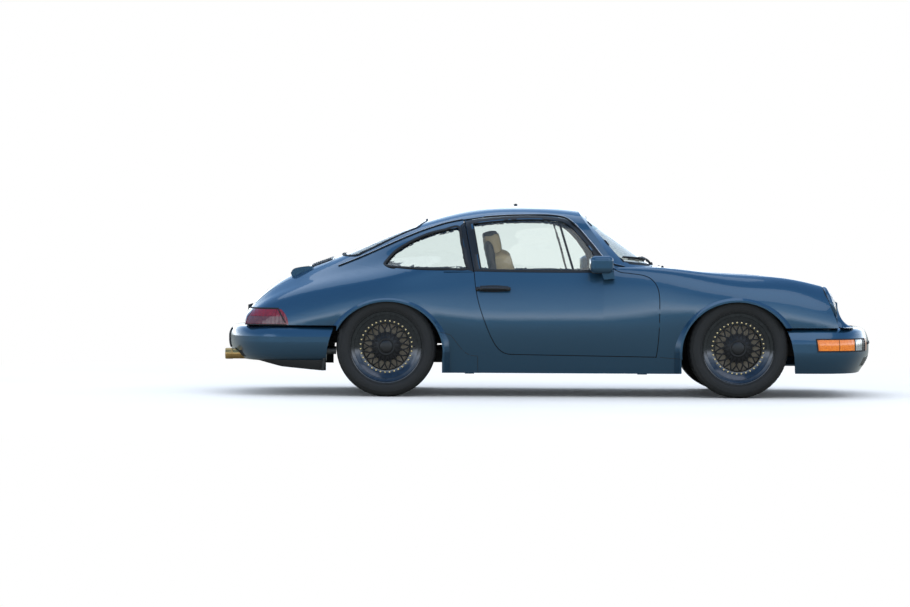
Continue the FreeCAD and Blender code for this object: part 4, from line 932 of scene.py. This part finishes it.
# Mirrors, handles and small outside parts
for side, tag in SIDES:
    body = tag + "_door"
    pillow("mirror_glass_" + tag, (241, 866 * side, 861), (5, 50, 38), 0, BRIGHT, body, 0.25, 0.0, (), 10)
    pillow("mirror_gasket_" + tag, (300, 790 * side, 806), (46, 34, 5), 0, SEAL, body, 0.3, 0.0, (), 10)
handle = [(-470, -801, 700), (-440, -818, 701), (-380, -822, 701), (-310, -819, 700), (-276, -801, 699)]
tube("door_handle_grip", handle, 9, TRIM, "right_door", 30, 14, True)
# Painted shade: a black trim patch under the handle stands in for the shade in the handle recess.
recess_shade_grid = between([(-466, 718), (-370, 722), (-282, 716)], [(-466, 682), (-370, 678), (-282, 684)], 24, 5,
               on_side)
patch("door_handle_painted_shade", recess_shade_grid, 1.4, TRIM, "right_door")
spot, normal = on_side(-480, 697)
lock = outward(spot, normal)
turned("door_lock", [(0, 9), (9, 8.6), (12, 6.5), (15, 3), (16, 0), (16, -2), (0, -2)], lock, TRIM,
       "right_door", True, 48)

spot, normal = on_top(-226, 0.01)
nub = Matrix.Translation(spot)
turned("roof_aerial_base", [(0, 12), (5, 11.5), (9, 9), (13, 4), (15, 0), (15, -2), (0, -2)], nub, TRIM,
       "chassis", False, 48)


def wiper(tag, pivot_y, blade_from, blade_to):
    """A blade that lies on the screen, and an arm from a pivot on the cowl to its middle."""
    base = on_top(668, pivot_y)[0] / MM
    (y0, z0), (y1, z1) = blade_from, blade_to
    blade = [on_front(y, z) for y, z in zip(spaced(y0, y1, 24), spaced(z0, z1, 24))]
    ribbon("wiper_blade_" + tag, blade, [(-2, 1), (-4, 9), (-3, 15), (3, 15), (4, 9), (2, 1)], SEAL,
           "chassis", False, False)
    middle = blade[12]
    end = (middle[0] + middle[1] * 18 * MM) / MM
    tube("wiper_arm_" + tag, [tuple(base + Vector((0, 0, 10))),
                              tuple(base.lerp(end, 0.4) + Vector((6, 0, 18))), tuple(end)],
         5, TRIM, "chassis", 20, 10, False, False, lambda share: 1.4 - 0.7 * share)
    turned("wiper_pivot_" + tag, [(0, 22), (9, 21), (13, 15), (14, 0), (16, -3), (0, -3)],
           Matrix.Translation(base * MM), TRIM, "chassis", False, 40)


wiper("right", -150, (-560, 902), (-150, 884))
wiper("left", 250, (-80, 886), (360, 900))
for side, tag in SIDES:
    spot, normal = on_top(742, side * 210)
    turned("washer_jet_" + tag,
           [(0, 9), (5, 8), (8, 4), (10, 0), (10, -2), (0, -2)], Matrix.Translation(spot), TRIM,
           "luggage_cover", False, 32)

# Engine lid grille, and a painted shadow strip under the blade edge
BLADE_HALF = 378
BLADE_EDGE = 786
for index in range(9):
    x = -1446 - index * 13
    line = [on_top(x, y) for y in spaced(-300, 300, 30)]
    ribbon("engine_grille_slat_%d" % index, line, [(-4, -3), (-4, 2), (1, 7), (4, 7), (4, -3)], TRIM,
           "engine_cover", False, False)
base = [[on_top(x, y) for y in spaced(-306, 306, 30)] for x in spaced(-1438, -1564, 6)]
patch("engine_grille_base", base, 0.8, DARK, "engine_cover", False, 2.0)
frame_line = [(-1438, -306), (-1438, 306), (-1564, 306), (-1564, -306)]
corners = []
for a, b in zip(frame_line, frame_line[1:] + frame_line[:1]):
    corners += [on_top(a[0] + (b[0] - a[0]) * step / 16,
                       a[1] + (b[1] - a[1]) * step / 16) for step in range(16)]
ribbon("engine_grille_frame", corners, strip(5, 6, 3), TRIM, "engine_cover", True, False)
# Painted shadow: a black strip along the blade's lower edge stands in for the shadow between blade and lid.
line = []
for y in spaced(-BLADE_HALF, BLADE_HALF, 40):
    line.append(cast(TOP, (BEHIND, y, BLADE_EDGE), (1, 0, 0), near=(-1700, y, BLADE_EDGE)))
ribbon("blade_painted_shadow", line, strip(12, 1.2, 2), SEAL, "engine_cover", False, False)

# Bumper openings, fog lamps, bumper pads and plate lamps
NOSE = surface("front_bumper", "nose_panel")
TAIL = surface("rear_bumper", "rear_panel", "plate_bracket")


def on_nose(y, z):
    return cast(NOSE, (AHEAD, y, z), (-1, 0, 0))


def on_tail(y, z):
    return cast(TAIL, (BEHIND, y, z), (1, 0, 0))


grid = [[on_nose(y, z) for y in spaced(-300, 300, 30)] for z in (196, 215, 235, 255, 268)]
patch("front_intake", grid, 1.0, DARK, "chassis", False)
for index in range(5):
    z = 206 + index * 13
    ribbon("front_intake_slat_%d" % index, [on_nose(y, z) for y in spaced(-290, 290, 20)], strip(2.5, 2.6),
           TRIM, "chassis", False, False)
grid = [[on_nose(y, z) for y in spaced(-500, -360, 10)] for z in (206, 225, 245, 262)]
patch("fog_lamp_surround", grid, 1.0, TRIM, "chassis")
spot, normal = on_nose(-430, 234)
fog = Matrix.Translation(spot - Vector((0.016, 0, 0))) @ Matrix.Rotation(math.radians(90), 4, "Y")
turned("fog_lamp_rim", [(20, 6), (25, 6), (26, 3), (26, -4), (20, -4)], fog, TRIM, "chassis", True, 48)
turned("fog_lamp_lens", [(0, 6), (10, 5.5), (18, 4), (21, 2), (21, -2), (0, -2)], fog, CLEAR, "chassis", True,
       48)
line = [on_nose(y, 352) for y in spaced(-560, 560, 50)]
ribbon("front_bumper_strip", line, [(-9, -1), (-8, 4), (0, 5.5), (8, 4), (9, -1)], SEAL, "chassis", False,
       False)
for side, tag in SIDES:
    hits = [on_tail(side * 205, 300 + 14 * step) for step in range(10)]
    ribbon("rear_bumper_pad_" + tag, hits,
           [(-22, -1), (-22, 3), (-15, 7), (15, 7), (22, 3), (22, -1)], SEAL, "chassis", False, False)
    spot, normal = on_tail(side * 200, 482)
    turned("plate_lamp_" + tag,
           [(0, 4), (8, 3.6), (12, 2), (13, 0), (13, -3), (0, -3)],
           outward(spot, normal), CLEAR, "chassis", False, 32)
valance = [[on_tail(y, z) for y in spaced(-560, 560, 50)] for z in (248, 262, 276, 290)]
patch("rear_lower_grille", valance, 1.0, DARK, "chassis", False)
turned("exhaust_tip_lip", [(28, 2), (33, 3), (36, 0), (36, -40), (34, -46), (30, -40), (30, -160),
                           (27, -160)],
       Matrix.Translation((-2.119, -0.450, 0.264)) @ Matrix.Rotation(math.radians(-90), 4, "Y"), BRASS,
       "chassis", False, 72)

# Dressing of the engine, seen with its lid open
FAN = Matrix.Translation(Vector((-1.770, 0, 0.600))) @ Matrix.Rotation(math.radians(-90), 4, "Y")


def fan_blades(count=11, inner=30, outer=97, half=13, thick=1.3):
    verts = []
    faces = []
    for index in range(count):
        turn = math.tau * index / count
        out = Vector((math.cos(turn), math.sin(turn), 0))
        side = Vector((-math.sin(turn), math.cos(turn), 0))
        base = len(verts)
        for reach, twist in ((inner, 0.9), (outer, 0.45)):
            for end in (-1, 1):
                for skin in (-thick, thick):
                    spot = out * reach + side * (end * half * twist + skin) + Vector((0, 0, end * half - 22))
                    verts.append(FAN @ (spot * MM))
        for face in ((0, 1, 3, 2), (4, 6, 7, 5), (0, 4, 5, 1), (2, 3, 7, 6), (0, 2, 6, 4), (1, 5, 7, 3)):
            faces.append(tuple(base + place for place in face))
    return made("engine_fan_blades", verts, faces, CAST, "chassis")


fan_blades()
turned("engine_fan_ring", [(98, 0), (102, 3), (106, 0), (106, -66), (98, -66)], FAN, CAST, "chassis", False,
       72)
turned("engine_fan_hub", [(0, 6), (20, 5), (28, 1), (33, -6), (34, -40), (0, -40)], FAN, STEEL, "chassis",
       False, 48)
pillow("engine_air_box", (-1500, 0, 664), (118, 168, 46), 0, TRIM, "chassis", 0.35, 0.1,
       ((0, -0.4, 5, 6), (0, 0.0, 5, 6), (0, 0.4, 5, 6)), 18)
for index in range(3):
    x = -1425 - 75 * index
    runner = [(x, -140, 674), (x, -205, 690), (x, -258, 664), (x, -274, 608)]
    tube("intake_runner_%d" % index, runner, 21, CAST, "chassis", 24, 18, True)
    collar = Matrix.Translation(Vector((x, -274, 614)) * MM)
    turned("intake_collar_%d" % index, [(20, 10), (27, 8), (29, 0), (29, -4), (20, -4)], collar, STEEL,
           "chassis", True, 36)
cap = Matrix.Translation(Vector((-1655, -205, 616)) * MM)
turned("oil_filler_cap", [(0, 30), (20, 29), (26, 24), (27, 8), (20, 4), (20, -2), (0, -2)], cap, SEAL,
       "chassis", False, 40)

LINER = [(-1440, 400), (-1440, 782), (-1550, 744), (-1650, 704), (-1750, 660), (-1850, 600), (-1888, 570),
         (-1896, 400)]
count = len(LINER)
verts = [Vector((x, y, z)) * MM for y in (-452, -456) for x, z in LINER]
faces = [tuple(range(count)), tuple(range(2 * count - 1, count - 1, -1))]
faces += [(step, (step + 1) % count, count + (step + 1) % count, count + step) for step in range(count)]
made("engine_bay_liner", verts, faces, DARK, "chassis", True)


# Seats
def front_seat(tag, y):
    """Cushion, back, head rest, shell, cap, base, piping and rails of one front seat."""
    seat = pillow("seat_cushion_" + tag, (62, y, 292), (250, 246, 72), -4, LEATHER, "chassis", 0.5, 0.2,
                  ((1, -0.62, 12, 8), (1, 0.62, 12, 8), (0, -0.3, 7, 7), (0, 0.1, 7, 7), (0, 0.5, 7, 7)), 26)
    back = pillow("seat_back_" + tag, (-266, y, 612), (84, 240, 346), -14, LEATHER, "chassis", 0.42, 0.2,
                  ((1, -0.6, 12, 8), (1, 0.6, 12, 8), (2, -0.5, 7, 7), (2, -0.15, 7, 7), (2, 0.2, 7, 7),
                   (2, 0.55, 9, 8)), 28)
    head = pillow("seat_head_" + tag, (-378, y, 968), (56, 138, 96), -9, LEATHER, "chassis", 0.5, 0.2,
                  ((2, -0.45, 6, 6),), 20)
    shell = pillow("seat_shell_" + tag, (-330, y, 640), (30, 232, 390), -13, HIDE, "chassis", 0.35, 0.1, (),
                   16)
    cap = pillow("seat_cap_" + tag, (-396, y, 1046), (48, 124, 26), -9, HIDE, "chassis", 0.6, 0.1, (), 16)
    base = pillow("seat_base_" + tag, (60, y, 236), (232, 216, 44), 0, HIDE, "chassis", 0.3, 0.0, (), 14)
    for side in (-1, 1):
        edge = y + side * 150
        tube("seat_piping_%s_%d" % (tag, side + 1), [(286, edge, 345), (160, edge, 362), (20, edge, 362),
                                                     (-120, edge, 344)],
             3.2, THREAD, "chassis", 30, 8)
        tube("seat_rail_%s_%d" % (tag, side + 1), [(-160, y + side * 180, 196), (60, y + side * 180, 194),
             (270, y + side * 180, 198)], 9, STEEL, "chassis", 16, 10)
    return [seat, back, head, shell, cap, base]


cushions = front_seat("right", -360) + front_seat("left", 360)
for side, tag in SIDES:
    seat = pillow("rear_cushion_" + tag, (-524, side * 290, 316), (92, 172, 34), 8, LEATHER, "chassis", 0.45,
                  0.25, ((1, -0.5, 6, 7), (1, 0.0, 6, 7), (1, 0.5, 6, 7)), 20)
    back = pillow("rear_back_" + tag, (-704, side * 290, 560), (46, 176, 236), -23, LEATHER, "chassis", 0.4,
                  0.25, ((1, -0.5, 6, 7), (1, 0.0, 6, 7), (1, 0.5, 6, 7)), 22)
    cushions += [seat, back]
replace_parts(cushions[0], "seats")

# Dashboard dials, steering wheel and controls
EYE = Vector((-math.cos(math.radians(22)), 0, math.sin(math.radians(22))))
wheel_at = outward(Vector((0.25, 0.36, 0.742)), EYE)
section = [(182 + 14 * math.cos(math.tau * step / 16),
            14 * math.sin(math.tau * step / 16)) for step in range(16)]
steer = turned("steering_rim", section, wheel_at, HIDE, "hand_wheel", False, 120,
               wave=lambda turn, index: 0.5 if turn % 3 == 0 else 0.0)
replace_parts(steer, "steering_wheel")
turned("steering_pad", [(0, 12), (40, 11), (62, 6), (70, -2), (66, -10), (40, -22), (30, -26), (0, -26)],
       wheel_at, BLACK, "hand_wheel", False, 72)
for index in range(4):
    angle = math.radians((20, 160, 215, 325)[index])
    points = []
    for share in (0, 0.3, 0.6, 1.0):
        radius = 56 + 120 * share
        points.append(((radius * math.cos(angle), radius * math.sin(angle), -4 + 3 * share),
                       Vector((-math.sin(angle), math.cos(angle), 0)) * (1.5 - 0.7 * share)))
    verts, faces = bar(points, 12, 8)
    made("steering_spoke_%d" % index, [wheel_at @ (Vector(vert) * MM) for vert in verts], faces, BLACK,
         "hand_wheel")
DASH = surface("dashboard")


def on_dash(y, z):
    return cast(DASH, (-200, y, z), (1, 0, 0), near=(300, y, z))


DIALS = ((0, 460, 42), (2, 360, 60), (3, 545, 36), (4, 235, 44), (5, 140, 38))
DIAL_HEIGHT = 760
for index, y, radius in DIALS:
    spot, normal = on_dash(y, DIAL_HEIGHT)
    face = Matrix.Translation(spot + Vector((-0.004, 0, 0))) @ Matrix.Rotation(math.radians(-90), 4, "Y")
    turned("dial_rim_%d" % index, [(radius - 4, 4), (radius, 5), (radius + 2, 2), (radius + 2, -6),
                                   (radius - 4, -6)], face,
           TRIM, "chassis", False, 64)
    turned("dial_face_%d" % index, [(0, 1.6), (radius - 5, 1.6), (radius - 3, 0), (radius - 3, -4), (0, -4)],
           face, DIAL, "chassis", False, 64)
    marks = []
    faces = []
    for tick in range(21):
        angle = math.radians(-30 + 240 * tick / 20)
        for across, reach in ((-0.8, radius - 7), (0.8, radius - 7), (0.8, radius - 14), (-0.8, radius - 14)):
            x = reach * math.cos(angle) - across * math.sin(angle)
            y2 = reach * math.sin(angle) + across * math.cos(angle)
            marks.append(face @ (Vector((x, y2, 2.2)) * MM))
        faces.append(tuple(range(tick * 4, tick * 4 + 4)))
    made("dial_marks_%d" % index, marks, faces, WHITE, "chassis")
grid = [[on_dash(y, z) for y in spaced(-600, -40, 24)] for z in (620, 650, 680, 700)]
patch("glove_lid", grid, 3.0, BLACK, "chassis", False)
grid = [[on_dash(y, z) for y in spaced(-120, 80, 10)] for z in (600, 640, 680, 712)]
patch("centre_controls", grid, 4.0, TRIM, "chassis", False)
tube("gear_lever", [(180, 0, 300), (150, 0, 380), (120, 0, 470)], 7, CHROME, "chassis", 14, 12)
pillow("gear_knob", (118, 0, 488), (20, 20, 26), 0, HIDE, "chassis", 0.9, 0.0, (), 8)
pillow("gear_boot", (170, 0, 330), (60, 50, 44), 0, HIDE, "chassis", 0.6, 0.2, ((2, 0.0, 5, 6),), 12)
tube("hand_brake", [(-120, 40, 320), (0, 40, 352), (70, 40, 388)], 9, HIDE, "chassis", 16, 12)
for index, y in enumerate((250, 330, 410)):
    tube("pedal_arm_%d" % index, [(600, y, 480), (560, y, 360), (520, y, 300)], 6, STEEL, "chassis", 12, 8)
    pillow("pedal_pad_%d" % index, (512, y, 288), (8, 24, 34), 20, SEAL, "chassis", 0.3, 0.0, (), 8)
spot, normal = on_front(0.01, 1110)
tube("inner_mirror_stalk", [tuple(spot / MM - Vector((10, 0, 0))), (spot.x / MM - 50, 0, 1106),
                            (spot.x / MM - 66, 0, 1096)], 5, TRIM,
     "chassis", 10, 8)
pillow("inner_mirror", (spot.x / MM - 78, 0, 1090), (10, 116, 28), 8, TRIM, "chassis", 0.45, 0.0, (), 14)

# Door cards
LINING = surface("door_right")


def on_card(x, z):
    """A place on the inner face of the right door."""
    spot, normal, index, far = LINING.ray_cast(Vector((x, -300, z)) * MM, Vector((0, -1, 0)))
    if spot is None or spot.y > -0.6:
        spot = Vector((x, -724, z)) * MM
        normal = Vector((0, 1, 0))
    if normal.y < 0:
        normal = -normal
    return spot, normal


card = [[on_card(x, z) for x in spaced(-360, 540, 30)] for z in spaced(320, 784, 12)]
patch("door_card", card, 4.0, HIDE, "right_door", True, 2.0)
rest = [[on_card(x, z) for x in spaced(-250, 370, 20)] for z in spaced(560, 620, 4)]
patch("door_arm_rest", rest, 34.0, LEATHER, "right_door", True, -6.0)
pocket = [[on_card(x, z) for x in spaced(-200, 400, 20)] for z in spaced(340, 450, 4)]
patch("door_pocket", pocket, 26.0, BLACK, "right_door", True, -6.0)
spot, normal = on_card(470, 430)
speaker = Matrix.Translation(spot + Vector((0, 0.006, 0))) @ Matrix.Rotation(math.radians(-90), 4, "X")
turned("door_speaker", [(0, 6), (40, 6), (58, 5), (64, 2), (64, -4), (0, -4)], speaker, TRIM, "right_door",
       True, 64)
tube("door_pull", [(-60, -676, 640), (-20, -660, 668), (120, -658, 672), (160, -676, 644)], 9, HIDE,
     "right_door", 20, 10, True)

# Floor, light and camera
FADE_FROM = 2.6
FADE_TO = 6.5
SKY_POWER = 3.0


def stage_floor():
    """A pale floor that fades into the white background for the camera and stays dull in reflections."""
    mat = stuff("pale_floor", (0.86, 0.85, 0.83), (0.90, 0.89, 0.87), (0.7, 0.85), grain=0.6)
    tree = mat.node_tree
    shader = tree.nodes["Principled BSDF"]
    out = tree.nodes["Material Output"]
    place = node(tree, "TexCoord")
    reach = node(tree, "VectorMath")
    reach.operation = "LENGTH"
    fade = node(tree, "MapRange")
    fade.interpolation_type = "SMOOTHSTEP"
    put(fade, "From Min", FADE_FROM)
    put(fade, "From Max", FADE_TO)
    wire(place, "Object", reach, 0)
    wire(reach, "Value", fade, "Value")
    white = node(tree, "Emission")
    put(white, "Strength", 1.0)
    mix = node(tree, "MixShader")
    wire(fade, "Result", mix, "Fac")
    wire(shader, "BSDF", mix, 1)
    wire(white, "Emission", mix, 2)
    path = node(tree, "LightPath")
    dull = node(tree, "BsdfDiffuse")
    put(dull, "Color", (0.27, 0.28, 0.25, 1))
    seen = node(tree, "Math")
    seen.operation = "MAXIMUM"
    wire(path, "Is Camera Ray", seen, 0)
    wire(path, "Is Transmission Ray", seen, 1)
    last = node(tree, "MixShader")
    wire(seen, "Value", last, "Fac")
    wire(dull, "BSDF", last, 1)
    wire(mix, "Shader", last, 2)
    wire(last, "Shader", out, "Surface")
    return mat


bpy.ops.mesh.primitive_circle_add(vertices=128, radius=60, fill_type="NGON", location=(0, 0, 0))
floor = bpy.context.object
floor.name = "floor"
floor.data.materials.append(stage_floor())

world = bpy.data.worlds.new("studio")
scene.world = world
world.use_nodes = True
tree = world.node_tree
tree.nodes.clear()
out = node(tree, "OutputWorld")
mix = node(tree, "MixShader")
path = node(tree, "LightPath")
white = node(tree, "Background")
put(white, "Color", (1, 1, 1, 1))
put(white, "Strength", 1.0)
sky = node(tree, "Background")
put(sky, "Strength", SKY_POWER)
ramp = node(tree, "ValToRGB")
place = node(tree, "TexCoord")
split = node(tree, "SeparateXYZ")
spread = node(tree, "MapRange")
put(spread, "From Min", -0.2)
put(spread, "From Max", 1.0)
wire(place, "Generated", split, "Vector")
wire(split, "Z", spread, "Value")
wire(spread, "Result", ramp, "Fac")
STOPS = ((0.0, (0.04, 0.042, 0.036)), (0.165, (0.05, 0.053, 0.046)), (0.185, (0.22, 0.24, 0.23)),
         (0.235, (0.80, 0.86, 0.92)), (0.32, (0.30, 0.38, 0.47)), (0.5, (0.075, 0.145, 0.26)),
         (1.0, (0.06, 0.13, 0.25)))
ramp.color_ramp.elements[0].position = STOPS[0][0]
ramp.color_ramp.elements[0].color = (*STOPS[0][1], 1)
ramp.color_ramp.elements[1].position = STOPS[-1][0]
ramp.color_ramp.elements[1].color = (*STOPS[-1][1], 1)
for position, color in STOPS[1:-1]:
    element = ramp.color_ramp.elements.new(position)
    element.color = (*color, 1)
calm = node(tree, "HueSaturation")
put(calm, "Saturation", 0.2)
put(calm, "Value", 1.5)
wire(ramp, "Color", calm, "Color")
wire(path, "Is Diffuse Ray", calm, "Fac")
wire(calm, "Color", sky, "Color")
seen = node(tree, "Math")
seen.operation = "MAXIMUM"
wire(path, "Is Camera Ray", seen, 0)
wire(path, "Is Transmission Ray", seen, 1)
wire(seen, "Value", mix, "Fac")
wire(sky, "Background", mix, 1)
wire(white, "Background", mix, 2)
wire(mix, "Shader", out, "Surface")

LIGHTS = (("key", (4.0, -7.0, 8.0), (0, 0, 0.4), 9.0, 190, (1.0, 0.97, 0.92)),
          ("top", (-1.5, 2.5, 8.0), (0, 0, 0.4), 9.0, 160, (0.90, 0.96, 1.0)),
          ("fill", (-7.5, -6.0, 3.0), (0, 0, 0.6), 4.0, 40, (0.95, 0.98, 1.0)))
for name, where, aim, wide, power, color in LIGHTS:
    lamp = bpy.data.lights.new(name, "AREA")
    lamp.shape = "DISK"
    lamp.size = wide
    lamp.energy = power
    lamp.color = color
    item = bpy.data.objects.new(name, lamp)
    scene.collection.objects.link(item)
    item.location = where
    item.rotation_euler = (Vector(aim) - Vector(where)).to_track_quat("-Z", "Y").to_euler()

cam = bpy.data.cameras.new("photo_camera")
cam_item = bpy.data.objects.new("photo_camera", cam)
scene.collection.objects.link(cam_item)
cam.sensor_width = 36.0
cam.lens = 139.8
cam.clip_end = 300
CAMERA_AT = (-0.626, -23.55, 1.0)
CAMERA_PITCH = math.radians(90 - 0.998)
CAMERA_ROLL = 0.0054
cam_item.matrix_world = (Matrix.Translation(CAMERA_AT) @ Matrix.Rotation(CAMERA_PITCH, 4, "X")
                         @ Matrix.Rotation(CAMERA_ROLL, 4, "Z"))
scene.camera = cam_item
scene.view_settings.view_transform = "Standard"
